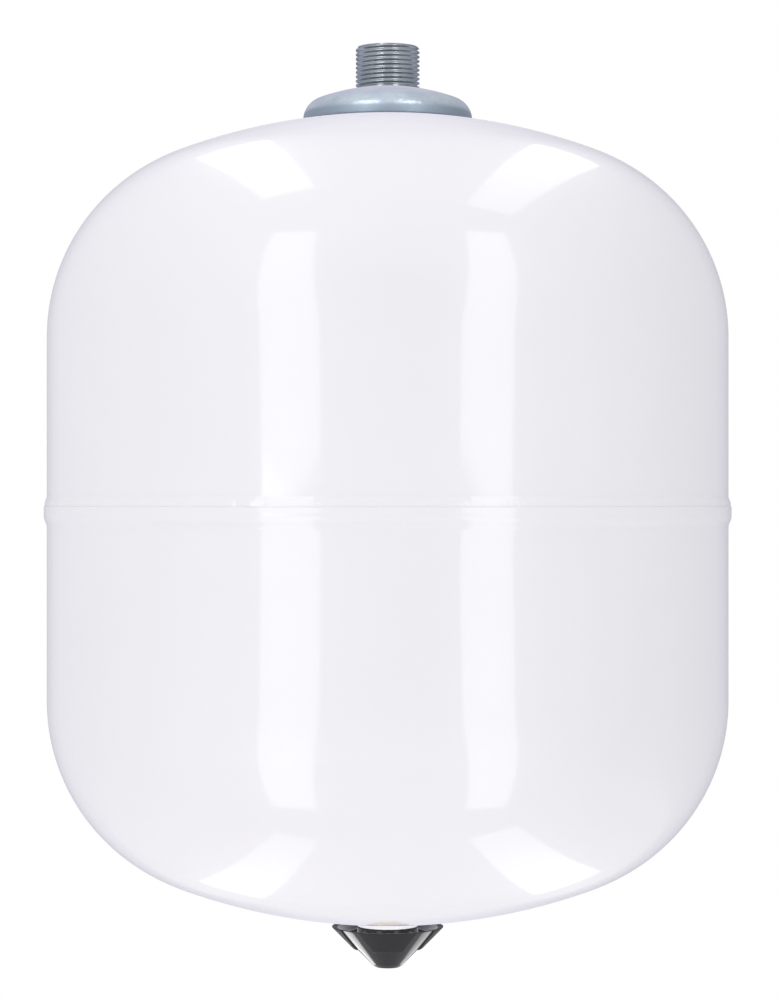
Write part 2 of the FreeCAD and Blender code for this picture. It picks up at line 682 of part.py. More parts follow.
def valve_cap():
    """Moulded cone with four grip lugs outside, and a threaded collar and ribs inside."""
    body = new_body("valve_cap", "cap_top")
    revolve(body, "lug_cone", [
        (0, 0),
        ("lug_radius", 0),
        ("lug_end_radius", "lug_end"),
        (0, "lug_end"),
    ])
    sketch = new_sketch(body, "slot_plan", "XY_Plane")
    near, far, half = "cap_collar / 2", "lug_radius + overshoot", "lug_slot / 2"
    corners = [(near, "-"), (far, "-"), (far, "+"), (near, "+")]
    places = [FreeCAD.Vector(number(x), number(half) * (1 if side == "+" else -1), 0)
              for x, side in corners]
    for i in range(4):
        sketch.addGeometry(Part.LineSegment(places[i], places[(i + 1) % 4]))
    for i, (x, side) in enumerate(corners):
        sketch.addConstraint(Sketcher.Constraint("Coincident", (i - 1) % 4, 2, i, 1))
        bind(sketch, Sketcher.Constraint("DistanceX", -1, 1, i, 1, places[i].x), x)
        above = (-1, 1, i, 1) if side == "+" else (i, 1, -1, 1)
        bind(sketch, Sketcher.Constraint("DistanceY", *above, abs(places[i].y)), half)
    to_diagonal = FreeCAD.Rotation(FreeCAD.Vector(0, 0, 1), 45)
    sketch.AttachmentOffset = FreeCAD.Placement(FreeCAD.Vector(0, 0, 0), to_diagonal)
    slot = body.newObject("PartDesign::Pocket", "grip_slot")
    slot.Profile = sketch
    slot.setExpression("Length", bound("lug_end + overshoot"))
    pattern(body, slot, "lug_count", "grip_slots")
    revolve(body, "cone", [
        (0, 0),
        ("cap_radius", 0),
        ("cap_tip_radius", "cap_height - cap_tip_round / 2", "cap_tip_round", -1),
        ("cap_tip_radius - cap_tip_round / 2", "cap_height"),
        (0, "cap_height"),
    ])
    revolve(body, "thread_cavity", [
        (0, "-overshoot"),
        ("ring_seat_radius", "-overshoot"),
        ("ring_seat_radius", "ring_seat_depth"),
        ("cap_thread_radius", "ring_seat_depth"),
        ("cap_thread_radius", "cap_thread_length"),
        ("cap_cavity", "cap_thread_length"),
        ("cap_cavity_end", "cap_cavity_depth"),
        (0, "cap_cavity_depth"),
    ], "Groove")
    taper = "(cap_radius - cap_tip_radius) / cap_height"
    skin = "cap_radius - cap_skin * sqrt(2)"
    revolve(body, "relief", [
        ("cap_collar", "-overshoot"),
        (f"{skin} + {taper} * overshoot", "-overshoot"),
        (f"{skin} - {taper} * relief_depth", "relief_depth"),
        ("cap_collar", "relief_depth"),
    ], "Groove")
    rib_plan = new_sketch(body, "rib_side")
    rib_inner, rib_end = "cap_collar - rib_overlap", "relief_depth + rib_overlap"
    draw_outline(rib_plan, [
        (rib_inner, "rib_drop"),
        (f"{skin} + rib_overlap - {taper} * rib_drop", "rib_drop"),
        (f"{skin} + rib_overlap - {taper} * relief_depth", rib_end),
        (rib_inner, rib_end),
    ])
    rib = body.newObject("PartDesign::Pad", "rib")
    rib.Profile = rib_plan
    rib.SideType = "Symmetric"
    rib.setExpression("Length", bound("rib_width"))
    pattern(body, rib, "rib_count", "ribs")


# ---------------------------------------------------------------- build, check and write

def build():
    upper_shell()
    lower_shell()
    seam_weld()
    threaded_nipple()
    connection_flange()
    connection_gasket()
    water_liner()
    diaphragm_bead()
    clench_ring()
    diaphragm_wall()
    diaphragm_crown()
    valve_boss()
    boss_weld()
    valve_body()
    valve_body_seal()
    valve_core_body()
    valve_core_seal()
    valve_pin()
    valve_pin_seal()
    valve_spring()
    cap_seal()
    valve_cap()


def check_and_write():
    """Stop on any failed object, then write each sub-part's shape to its own file."""
    failed = [o.Label for o in doc.Objects if {"Invalid", "Error"} & set(o.State)]
    if failed:
        raise RuntimeError(f"failed objects: {failed}")
    os.makedirs("parts", exist_ok=True)
    for body in doc.findObjects("PartDesign::Body"):
        shape = body.Shape
        if shape.isNull() or not shape.isValid():
            raise RuntimeError(f"{body.Label} has no valid shape")
        box = shape.BoundBox
        print(f"{body.Label:20s} solids {len(shape.Solids)} volume {shape.Volume:12.2f} mm3 "
              f"z {box.ZMin:9.3f} to {box.ZMax:9.3f} r {box.XMax:8.3f}")
        shape.exportStep(os.path.join("parts", body.Label + ".step"))


build()
doc.recompute()
check_and_write()
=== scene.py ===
"""Looks of an 18 litre expansion vessel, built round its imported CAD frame. Metres, +Z up."""

import math

import bmesh
import bpy
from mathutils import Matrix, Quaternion, Vector, noise


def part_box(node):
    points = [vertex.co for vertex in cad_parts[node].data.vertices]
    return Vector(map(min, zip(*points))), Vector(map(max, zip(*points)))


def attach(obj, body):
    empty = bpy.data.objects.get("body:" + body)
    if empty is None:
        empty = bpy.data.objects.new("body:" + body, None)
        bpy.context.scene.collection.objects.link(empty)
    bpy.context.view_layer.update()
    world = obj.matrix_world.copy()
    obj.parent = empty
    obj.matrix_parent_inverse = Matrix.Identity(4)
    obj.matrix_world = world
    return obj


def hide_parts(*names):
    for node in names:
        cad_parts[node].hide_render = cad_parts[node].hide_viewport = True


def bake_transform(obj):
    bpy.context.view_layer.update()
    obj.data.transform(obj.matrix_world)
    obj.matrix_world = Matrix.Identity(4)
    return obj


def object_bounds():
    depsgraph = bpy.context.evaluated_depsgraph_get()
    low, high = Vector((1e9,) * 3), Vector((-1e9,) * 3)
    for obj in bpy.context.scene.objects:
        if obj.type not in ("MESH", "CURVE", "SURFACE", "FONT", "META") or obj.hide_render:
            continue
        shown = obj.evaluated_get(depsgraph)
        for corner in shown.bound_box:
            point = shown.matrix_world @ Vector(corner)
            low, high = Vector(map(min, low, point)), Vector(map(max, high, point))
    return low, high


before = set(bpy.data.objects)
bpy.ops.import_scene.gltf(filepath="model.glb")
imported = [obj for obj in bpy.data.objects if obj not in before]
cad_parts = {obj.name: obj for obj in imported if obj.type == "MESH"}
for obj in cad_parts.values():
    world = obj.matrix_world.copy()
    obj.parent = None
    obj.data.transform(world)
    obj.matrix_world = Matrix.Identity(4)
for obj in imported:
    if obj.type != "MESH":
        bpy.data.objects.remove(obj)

cad_low, cad_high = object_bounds()

MM = 0.001
SHELL_STEPS = 288          # columns round the shell,
WELD_STEPS = 2160          # round the seam's weld, fine enough for its ripples,
FITTING_STEPS = 256        # round the flange and the nipple,
BOSS_STEPS = 160           # round the boss,
BOSS_WELD_STEPS = 384      # round the boss's weld
WALL_STEPS = 192           # and round the diaphragm's wall


# ---------------------------------------------------------------- sizes

SHELL_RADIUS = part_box("upper_shell")[1].x
SHELL_TOP = -28.8 * MM                     # apex of the upper end, inside the nipple's hole
SHELL_BOTTOM = -360.8 * MM                 # apex of the lower end
CROWN = 245 * MM
KNUCKLE = 80.5 * MM
SHELL_WALL = 1.25 * MM
HOLE = 13.6 * MM                           # the hole that the nipple's neck fills
LIP_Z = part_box("lower_shell")[1].z         # edge of the lower half, where it laps the upper
LIP_RADIUS = SHELL_RADIUS + SHELL_WALL
LIP_LENGTH = 5.2 * MM
LIP_ROUND = 0.45 * MM
JOGGLE_LENGTH = 2.5 * MM
JOGGLE_EASE = 1.0 * MM                     # how much further its outer face runs at each end
UPPER_EDGE_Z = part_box("upper_shell")[0].z
FLANGE_APEX_Z = -16.5 * MM
FLANGE_RIM_Z = -30.4 * MM
FLANGE_BEND_Z = -23.2 * MM                 # its turned-down part starts here,
FLANGE_SHADED_EDGE_Z = -27.2 * MM                # and its dull sheared edge, darkened by painted shade, here
BOSS_RADIUS = 12.5 * MM
CAP_TOP_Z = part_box("valve_cap")[1].z
CAP_TIP_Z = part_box("valve_cap")[0].z
CAP_RADIUS, CAP_TIP_RADIUS = 22 * MM, 5.3 * MM
LUG_RADIUS, LUG_END_RADIUS, LUG_END = 23.2 * MM, 14.3 * MM, 9.1 * MM


# ---------------------------------------------------------------- outlines

def arc(centre, radius, start, end, steps):
    """Points (radius, z) of an arc; angles in degrees, from the +radius direction towards +z."""
    turns = [math.radians(start + (end - start) * i / steps) for i in range(steps + 1)]
    return [(centre[0] + radius * math.cos(t), centre[1] + radius * math.sin(t)) for t in turns]


def dished(apex, radius, crown, knuckle, hole, way, steps=40):
    """Points of a dished end from its hole out to its wall; way is +1 for an end that domes up."""
    reach = crown - knuckle
    offset = radius - knuckle
    join = math.degrees(math.asin(offset / reach))
    crown_centre = apex - way * crown
    knuckle_centre = crown_centre + way * math.sqrt(reach ** 2 - offset ** 2)
    first = math.degrees(math.asin(hole / crown))
    dome = arc((0, crown_centre), crown, way * (90 - first), way * (90 - join), steps)
    bend = arc((offset, knuckle_centre), knuckle, way * (90 - join), 0, steps)
    return dome + bend[1:]


def crown_z(apex, crown, way, radius):
    """Height of a dished end's crown at a radius."""
    return apex - way * crown + way * math.sqrt(crown ** 2 - radius ** 2)


def quarter_arc(steps):
    """(1 - cos, sin) pairs from 0 to 90 degrees."""
    turns = [math.pi / 2 * k / steps for k in range(steps + 1)]
    return [(1 - math.cos(t), math.sin(t)) for t in turns]


# ---------------------------------------------------------------- meshes

def mesh_object(name, points, faces, sharp=32):
    """A smooth-shaded object; doubled points are merged and edges over the sharp angle stay."""
    mesh = bpy.data.meshes.new(name)
    mesh.from_pydata(points, [], faces, shade_flat=False)
    tidy = bmesh.new()
    tidy.from_mesh(mesh)
    bmesh.ops.remove_doubles(tidy, verts=tidy.verts, dist=2e-7)
    bmesh.ops.dissolve_degenerate(tidy, edges=tidy.edges, dist=2e-7)
    bmesh.ops.recalc_face_normals(tidy, faces=tidy.faces)
    tidy.to_mesh(mesh)
    tidy.free()
    mesh.set_sharp_from_angle(angle=math.radians(sharp))
    piece = bpy.data.objects.new(name, mesh)
    bpy.context.scene.collection.objects.link(piece)
    return piece


def ring_faces(rings, count, closed=False):
    """Quads between neighbouring rings of count points; if closed, the last one joins the first."""
    faces = []
    for ring in range(rings if closed else rings - 1):
        near, far = ring * count, (ring + 1) % rings * count
        for i in range(count):
            across = (i + 1) % count
            faces.append((near + i, near + across, far + across, far + i))
    return faces


def lathe(name, outline, steps, shape=None, sharp=32):
    """Turn a closed outline about the axis; shape(turn, radius, z) may move each point."""
    points = []
    for i in range(steps):
        turn = 2 * math.pi * i / steps
        for radius, z in outline:
            r, h = shape(turn, radius, z) if shape else (radius, z)
            points.append((r * math.cos(turn), r * math.sin(turn), h))
    return mesh_object(name, points, ring_faces(steps, len(outline), closed=True), sharp)


def drift(turn, rate, level):
    """Smooth noise round the axis, without a join; it changes faster at a higher rate."""
    return noise.noise(Vector((math.cos(turn) * rate, math.sin(turn) * rate, level)))


THREAD_DEPTH, THREAD_ROUND = 0.6403, 0.1373     # of a Whitworth form, as shares of its pitch
THREAD_FLANK = 62.5                             # degrees from the axis to a flank, 90 - 55 / 2
THREAD_WEAR = 0.03 * MM


def whitworth(pitch, crest, steps=4):
    """One pitch of a 55 degree thread with round crests and roots: (share of pitch, radius)."""
    round_off = THREAD_ROUND * pitch
    depth = THREAD_DEPTH * pitch
    tops = arc((0, crest - round_off), round_off, 90 + THREAD_FLANK, 90 - THREAD_FLANK, steps)
    feet = arc((0, crest - depth + round_off), round_off, -90 - THREAD_FLANK,
               -90 + THREAD_FLANK, steps)
    return [(x / pitch + 0.25, r) for x, r in tops] + [(x / pitch + 0.75, r) for x, r in feet]


def threaded_bar(name, form, pitch, top, bottom, mouth, rest, columns):
    """A right-hand threaded bar. rest is the outline below the thread, back up to its mouth.

    Rows follow the helix and are held between top and bottom, so both ends come out flat.
    The thread starts from the mouth's radius on a 45 degree chamfer.
    """
    per_turn = len(form)
    turns = math.ceil((top - bottom) / pitch) + 1
    thread_rows = turns * per_turn + 1
    rows = thread_rows + len(rest)
    points = []
    for i in range(columns):
        turn = 2 * math.pi * i / columns
        for k in range(thread_rows):
            share, radius = form[k % per_turn]
            z = top - (k // per_turn + share - i / columns) * pitch
            wear = THREAD_WEAR * drift(turn, 9, z * 900)
            radius += wear * (radius - form[-1][1]) / pitch
            radius = min(radius, mouth + max(0, top - z))
            if z >= top:
                z, radius = top, mouth
            if z <= bottom:
                z, radius = bottom, rest[0][0]
            points.append((radius * math.cos(turn), radius * math.sin(turn), z))
        points += [(r * math.cos(turn), r * math.sin(turn), z) for r, z in rest]
    faces = []
    for i in range(columns):
        for k in range(rows):
            down = (k + 1) % rows
            left = [i * rows + k, i * rows + down]
            if i < columns - 1:
                right = [(i + 1) * rows + down, (i + 1) * rows + k]
            else:
                # the last column meets the first one pitch further down its rows
                right = [row if row >= thread_rows else max(row - per_turn, 0) for row in (down, k)]
            faces.append(left + right)
    return mesh_object(name, points, faces, sharp=50)


# ---------------------------------------------------------------- materials

def new_material(name):
    """A material and the parts of its node tree that the recipes below add to."""
    material = bpy.data.materials.new(name)
    material.use_nodes = True
    tree = material.node_tree
    shader = tree.nodes["Principled BSDF"]
    place = tree.nodes.new("ShaderNodeTexCoord").outputs["Object"]
    return material, tree, shader, place


def grain(tree, place, scale, detail=2, roughness=0.5, stretch=(1, 1, 1)):
    """Noise of so many cells a metre, as a value from 0 to 1."""
    if stretch != (1, 1, 1):
        mapping = tree.nodes.new("ShaderNodeMapping")
        mapping.inputs["Scale"].default_value = stretch
        tree.links.new(place, mapping.inputs["Vector"])
        place = mapping.outputs["Vector"]
    texture = tree.nodes.new("ShaderNodeTexNoise")
    texture.inputs["Scale"].default_value = scale
    texture.inputs["Detail"].default_value = detail
    texture.inputs["Roughness"].default_value = roughness
    tree.links.new(place, texture.inputs["Vector"])
    return texture.outputs["Fac"]


def spread(tree, value, low, high, first, last):
    """Map value from low..high to first..last, clamped."""
    node = tree.nodes.new("ShaderNodeMapRange")
    for name, number in (("From Min", low), ("From Max", high), ("To Min", first),
                         ("To Max", last)):
        node.inputs[name].default_value = number
    tree.links.new(value, node.inputs["Value"])
    return node.outputs["Result"]


def tinted(tree, share, first, last, blend="MIX"):
    """A colour between first and last, each of them a colour or a node's output."""
    node = tree.nodes.new("ShaderNodeMix")
    node.data_type = "RGBA"
    node.blend_type = blend
    for socket, colour in ((node.inputs[6], first), (node.inputs[7], last)):
        if isinstance(colour, tuple):
            socket.default_value = (*colour, 1)
        else:
            tree.links.new(colour, socket)
    tree.links.new(share, node.inputs[0])
    return node.outputs[2]


def clouded(tree, texture, light, dark, low=0.3, high=0.7):
    """A colour that drifts from light to dark as a texture goes from low to high."""
    return tinted(tree, spread(tree, texture, low, high, 0, 1), light, dark)


def patchy(tree, texture, smooth, rough):
    """A roughness that goes from smooth to rough with a texture."""
    return spread(tree, texture, 0.3, 0.7, smooth, rough)


def coordinate(tree, place, axis):
    """One coordinate of a place."""
    node = tree.nodes.new("ShaderNodeSeparateXYZ")
    tree.links.new(place, node.inputs["Vector"])
    return node.outputs[axis]


def computed(tree, operation, first, second=None):
    """What a Math node makes of a value and, if it takes two, a second value or a number."""
    node = tree.nodes.new("ShaderNodeMath")
    node.operation = operation
    tree.links.new(first, node.inputs[0])
    if isinstance(second, float):
        node.inputs[1].default_value = second
    elif second is not None:
        tree.links.new(second, node.inputs[1])
    return node.outputs[0]


def multiplied(tree, first, second):
    return computed(tree, "MULTIPLY", first, second)


def new_sum(tree, start, terms):
    """start plus each value times its factor."""
    total = None
    for value, factor in terms:
        node = tree.nodes.new("ShaderNodeMath")
        node.operation = "MULTIPLY_ADD"
        tree.links.new(value, node.inputs[0])
        node.inputs[1].default_value = factor
        node.inputs[2].default_value = start
        if total:
            tree.links.new(total, node.inputs[2])
        total = node.outputs[0]
    return total


def relief(tree, shader, layers):
    """Chain bumps; each layer is a height value and its depth in metres."""
    normal = None
    for height, depth in layers:
        bump = tree.nodes.new("ShaderNodeBump")
        bump.inputs["Distance"].default_value = depth
        tree.links.new(height, bump.inputs["Height"])
        if normal:
            tree.links.new(normal, bump.inputs["Normal"])
        normal = bump.outputs["Normal"]
    tree.links.new(normal, shader.inputs["Normal"])


def set_inputs(shader, **values):
    for name, value in values.items():
        shader.inputs[name.replace("_", " ")].default_value = value


# painted shade: the coat is darkened in a thin broken line along the crease where the lower half
# laps the upper
CREASE_SHADE_TINT = (0.988, 0.988, 0.99)
CREASE_SHADE_CORE, CREASE_SHADE_EDGE = 0.1 * MM, 0.5 * MM   # from the lip: full strength up to, gone beyond


def coated_steel(name, light, dark):
    """Gloss powder coat: faint clouding, orange peel, long waviness and painted shade in the lap.
    """
    material, tree, shader, place = new_material(name)
    colour = clouded(tree, grain(tree, place, 14, detail=4), light, dark)
    # painted shade along the lap's crease, broken up by noise
    away = computed(tree, "SUBTRACT", coordinate(tree, place, "Z"), LIP_Z)
    crease_shade = spread(tree, computed(tree, "ABSOLUTE", away), CREASE_SHADE_CORE, CREASE_SHADE_EDGE, 1, 0)
    breaks = spread(tree, grain(tree, place, 16, detail=3), 0.4, 0.6, 0.1, 1)
    crease_shaded = tinted(tree, multiplied(tree, crease_shade, breaks), colour, CREASE_SHADE_TINT, "MULTIPLY")
    tree.links.new(crease_shaded, shader.inputs["Base Color"])
    worn = grain(tree, place, 40, detail=5, roughness=0.6)
    tree.links.new(patchy(tree, worn, 0.3, 0.4), shader.inputs["Roughness"])
    peel = grain(tree, place, 620, detail=1)
    wave = grain(tree, place, 75, detail=1)
    relief(tree, shader, [(wave, 12e-6), (peel, 3e-6)])
    set_inputs(shader, Coat_Weight=1.0, Coat_Roughness=0.07, Coat_IOR=1.5)
    set_inputs(shader, Specular_IOR_Level=0.25)
    return material


def zinc(tree, place, light, dark):
    """Blue-passivated zinc: its clouded colour, gloss patches, and layers of relief."""
    clouds = grain(tree, place, 90, detail=5, roughness=0.6)
    colour = clouded(tree, clouds, light, dark, 0.35, 0.65)
    patches = grain(tree, place, 260, detail=6, roughness=0.65)
    waves = grain(tree, place, 130, detail=2)
    crystals = (grain(tree, place, 2600, detail=3), 1.5e-6)
    return colour, patches, waves, crystals


def plated_thread(name, light, dark, smooth, rough, wave_depth, ring_depth):
    """Zinc plate on a turned thread, with tool marks round it and dim grazing reflections."""
    material, tree, shader, place = new_material(name)
    colour, patches, waves, crystals = zinc(tree, place, light, dark)
    tree.links.new(colour, shader.inputs["Base Color"])
    tree.links.new(patchy(tree, patches, smooth, rough), shader.inputs["Roughness"])
    rings = grain(tree, place, 60, detail=4, stretch=(1, 1, 90))
    relief(tree, shader, [(waves, wave_depth), crystals, (rings, ring_depth)])
    set_inputs(shader, Metallic=1.0, Specular_Tint=(0.5, 0.54, 0.6, 1))
    return material


BEND_LENGTH = 2.5 * MM
EDGE_SHADE_BLUR = 0.9 * MM


def pressed_zinc(name, light, dark, shaded_edge_colour, corner_z, edge_z):
    """Zinc-plated pressing: squiggles where it was bent, and a dull sheared edge below edge_z,
    darkened by painted shade.
    """
    material, tree, shader, place = new_material(name)
    colour, patches, waves, crystals = zinc(tree, place, light, dark)
    height = coordinate(tree, place, "Z")
    # edge is 1 on the lower rim: there the colour is darkened as painted shade, and the roughness
    # is raised for a dull edge
    edge = spread(tree, height, edge_z - EDGE_SHADE_BLUR, edge_z + EDGE_SHADE_BLUR, 1, 0)
    tree.links.new(tinted(tree, edge, colour, shaded_edge_colour), shader.inputs["Base Color"])
    gloss = new_sum(tree, 0, [(patchy(tree, patches, 0.17, 0.3), 1), (edge, 0.25)])
    tree.links.new(gloss, shader.inputs["Roughness"])
    squiggles = spread(tree, grain(tree, place, 420, detail=3), 0.45, 0.6, 0, 1)
    bend = multiplied(tree, spread(tree, height, corner_z, corner_z + BEND_LENGTH, 1, 0), squiggles)
    bend = multiplied(tree, spread(tree, height, edge_z - 1 * MM, edge_z, 0, 1), bend)
    relief(tree, shader, [(waves, 20e-6), (bend, 36e-6), crystals])
    set_inputs(shader, Metallic=1.0)
    return material


def moulding(tree, shader, place, light, dark):
    """Slight colour flow of a moulded plastic or rubber; returns its gloss patches and waves."""
    flow = grain(tree, place, 55, detail=3)
    tree.links.new(clouded(tree, flow, light, dark), shader.inputs["Base Color"])
    return grain(tree, place, 180, detail=5, roughness=0.6), grain(tree, place, 110, detail=1)


def moulded(name, light, dark, smooth, rough, fine_depth, flow_depth=8e-6, fine_scale=1800):
    """A moulded plastic or rubber: slight colour flow, patchy gloss and a soft surface."""
    material, tree, shader, place = new_material(name)
    patches, waves = moulding(tree, shader, place, light, dark)
    tree.links.new(patchy(tree, patches, smooth, rough), shader.inputs["Roughness"])
    relief(tree, shader, [(waves, flow_depth),
                          (grain(tree, place, fine_scale, detail=2), fine_depth)])
    set_inputs(shader, IOR=1.5)
    return material


def grip_texture(tree, place):
    """1 on the cap's lug faces and rim and 0 elsewhere, from each place's radius and height."""
    flat = tree.nodes.new("ShaderNodeVectorMath")
    flat.operation = "MULTIPLY"
    flat.inputs[1].default_value = (1, 1, 0)
    tree.links.new(place, flat.inputs[0])
    out = tree.nodes.new("ShaderNodeVectorMath")
    out.operation = "LENGTH"
    tree.links.new(flat.outputs["Vector"], out.inputs[0])
    height = coordinate(tree, place, "Z")
    taper = (LUG_RADIUS - LUG_END_RADIUS) / LUG_END
    end_z = CAP_TOP_Z - LUG_END
    end_edge = spread(tree, height, end_z + 0.4 * MM, end_z + 0.6 * MM, 0.25 * MM, 0)
    above = new_sum(tree, taper * CAP_TOP_Z - LUG_RADIUS,
                    [(out.outputs["Value"], 1), (height, -taper), (end_edge, 1)])
    faces = spread(tree, above, -0.35 * MM, -0.2 * MM, 0, 1)
    rim = spread(tree, height, CAP_TOP_Z - 0.4 * MM, CAP_TOP_Z - 0.25 * MM, 0, 1)
    return computed(tree, "MAXIMUM", faces, rim)


def grip_plastic(name, light, dark, smooth, rough, extra):
    """Gloss black plastic; the lug faces and the rim are textured, and rougher by extra."""
    material, tree, shader, place = new_material(name)
    patches, waves = moulding(tree, shader, place, light, dark)
    textured = grip_texture(tree, place)
    gloss = new_sum(tree, 0, [(patchy(tree, patches, smooth, rough), 1), (textured, extra)])
    tree.links.new(gloss, shader.inputs["Roughness"])
    spark = multiplied(tree, grain(tree, place, 2400, detail=2), textured)
    relief(tree, shader, [(waves, 14e-6), (spark, 8e-6)])
    set_inputs(shader, IOR=1.42)
    return material


def turned_metal(name, light, dark, smooth, rough, ring_depth):
    """A lathe-turned metal: rings of tool marks about the axis and slight tarnish."""
    material, tree, shader, place = new_material(name)
    tarnish = grain(tree, place, 150, detail=5, roughness=0.6)
    tree.links.new(clouded(tree, tarnish, light, dark, 0.35), shader.inputs["Base Color"])
    patches = grain(tree, place, 700, detail=4)
    tree.links.new(patchy(tree, patches, smooth, rough), shader.inputs["Roughness"])
    rings = grain(tree, place, 120, detail=3, stretch=(1, 1, 60))
    relief(tree, shader, [(rings, ring_depth)])
    set_inputs(shader, Metallic=1.0)
    return material


WHITE = coated_steel("white_powder_coat", (0.871, 0.860, 0.893), (0.856, 0.845, 0.878))
BOSS_WHITE = coated_steel("boss_paint", (0.86, 0.79, 0.76), (0.82, 0.75, 0.72))
# the third colour is painted shade on the flange's lower rim
FLANGE_ZINC = pressed_zinc("blue_zinc_plate", (0.50, 0.57, 0.635), (0.41, 0.475, 0.54),
                           (0.29, 0.35, 0.42), FLANGE_BEND_Z, FLANGE_SHADED_EDGE_Z)
THREAD_ZINC = plated_thread("thread_zinc", (0.37, 0.405, 0.44), (0.285, 0.32, 0.355), 0.15, 0.27,
                            wave_depth=10e-6, ring_depth=5e-6)
BLACK = grip_plastic("gloss_black_plastic", (0.008, 0.008, 0.010), (0.013, 0.013, 0.015),
                     0.07, 0.13, extra=0.5)
SEAL = moulded("seal_rubber", (0.020, 0.020, 0.021), (0.034, 0.034, 0.034), 0.5, 0.68,
               fine_depth=6e-6)
DIAPHRAGM = moulded("butyl_rubber", (0.024, 0.024, 0.026), (0.04, 0.04, 0.043), 0.48, 0.7,
                    flow_depth=30e-6, fine_depth=8e-6, fine_scale=900)
LINER = moulded("natural_polypropylene", (0.72, 0.73, 0.70), (0.66, 0.67, 0.63), 0.35, 0.5,
                flow_depth=20e-6, fine_depth=3e-6)
BAND = turned_metal("rolled_strip", (0.60, 0.60, 0.61), (0.48, 0.48, 0.49), 0.28, 0.42, 6e-6)
WIRE = turned_metal("drawn_wire", (0.56, 0.57, 0.58), (0.46, 0.46, 0.47), 0.22, 0.34, 1e-6)
BRASS = turned_metal("turned_brass", (0.80, 0.60, 0.27), (0.66, 0.47, 0.20), 0.2, 0.34, 3e-6)


# ---------------------------------------------------------------- pieces

def stand_in(piece, body, slot, material, *nodes):
    """Give a new piece its material, its body and the CAD nodes that it shows."""
    piece.data.materials.append(material)
    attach(piece, body)
    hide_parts(*nodes)


def shell_inside(apex, hole, way):
    """The inner face of a dished half, from its hole out to its wall."""
    return dished(apex - way * SHELL_WALL, SHELL_RADIUS - SHELL_WALL, CROWN - SHELL_WALL,
                  KNUCKLE - SHELL_WALL, hole, way, 24)


def shell_wall(dome, end):
    """The straight wall in eighths, from a dome's last point, left out, to its end."""
    return [(SHELL_RADIUS, end + (dome[-1][1] - end) * k / 8) for k in range(7, -1, -1)]


def upper_shell():
    """The upper half, whose plain edge reaches down inside the lower half's lip."""
    outside = dished(SHELL_TOP, SHELL_RADIUS, CROWN, KNUCKLE, HOLE, 1)
    wall = shell_wall(outside, LIP_Z)
    edge = [(SHELL_RADIUS, UPPER_EDGE_Z), (SHELL_RADIUS - SHELL_WALL, UPPER_EDGE_Z)]
    inside = shell_inside(SHELL_TOP, HOLE, 1)
    piece = lathe("coated_upper_shell", outside + wall + edge + inside[::-1], SHELL_STEPS)
    stand_in(piece, "vessel", "white_paint", WHITE, "upper_shell")


def lower_shell():
    """The lower half, joggled out into a lip that laps the upper half."""
    outside = dished(SHELL_BOTTOM, SHELL_RADIUS, CROWN, KNUCKLE, BOSS_RADIUS, -1)
    joggle_z = LIP_Z - LIP_LENGTH - JOGGLE_LENGTH
    wall = shell_wall(outside, joggle_z - 2 * JOGGLE_EASE)[:-1]
    steps = 12

    def joggle(radius, ease=0.0):
        """The smooth step from the wall out to the lip, longer by ease at both ends."""
        shares = [k / steps for k in range(steps + 1)]
        length = JOGGLE_LENGTH + 2 * ease
        return [(radius + SHELL_WALL * (1 - math.cos(math.pi * s)) / 2,
                 joggle_z - ease + length * s) for s in shares]

    edge = arc((LIP_RADIUS - LIP_ROUND, LIP_Z - LIP_ROUND), LIP_ROUND, 0, 90, 6)
    inside = shell_inside(SHELL_BOTTOM, BOSS_RADIUS, -1)
    outline = (outside + wall + joggle(SHELL_RADIUS, JOGGLE_EASE) + edge + [(SHELL_RADIUS, LIP_Z)]
               + joggle(SHELL_RADIUS - SHELL_WALL)[::-1] + inside[::-1])
    piece = lathe("coated_lower_shell", outline, SHELL_STEPS)
    stand_in(piece, "vessel", "white_paint", WHITE, "lower_shell")


WELD_TOP_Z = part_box("seam_weld")[1].z
WELD_THROAT = 0.9 * MM
WELD_ROOT = 0.05 * MM                      # how far the bead reaches into the shell
WELD_CREST, WELD_FULLNESS = 0.8, 1.4       # share of the face down to its crest, and its swell
WELD_RIPPLE = 2.3 * MM                     # length of one solidified ripple
WELD_RIPPLE_RISE, WELD_SWELL = 0.02, 0.10  # height of ripples and slow swells, as shares
WELD_BOW, WELD_STRAY = 2.2, 1.5            # how far a ripple bows and strays, in its own phase
WELD_WANDER = 0.22 * MM                    # of the toe, up and down
WELD_STOP = math.radians(-111)             # where the welder's run closes on itself,
WELD_LUMP, WELD_LUMP_WIDTH = 0.3, 0.018    # in a lump, and a crater just beside it
WELD_CRATER, WELD_CRATER_WIDTH, WELD_CRATER_OFF = 0.2, 0.012, 0.04


def weld_height(turn, across):
    """The bead's height round the seam, as a share; across runs from -1 at its foot to 1."""
    ripples = round(2 * math.pi * SHELL_RADIUS / WELD_RIPPLE)
    phase = turn * ripples + WELD_BOW * (1 - across * across) + WELD_STRAY * drift(turn, 30, 3)
    height = 1 + WELD_RIPPLE_RISE * math.sin(phase) + WELD_SWELL * drift(turn, 14, 0)
    apart = math.atan2(math.sin(turn - WELD_STOP), math.cos(turn - WELD_STOP))
    lump = WELD_LUMP * math.exp(-(apart / WELD_LUMP_WIDTH) ** 2)
    crater = WELD_CRATER * math.exp(-((apart + WELD_CRATER_OFF) / WELD_CRATER_WIDTH) ** 2)
    return height + (lump - crater)


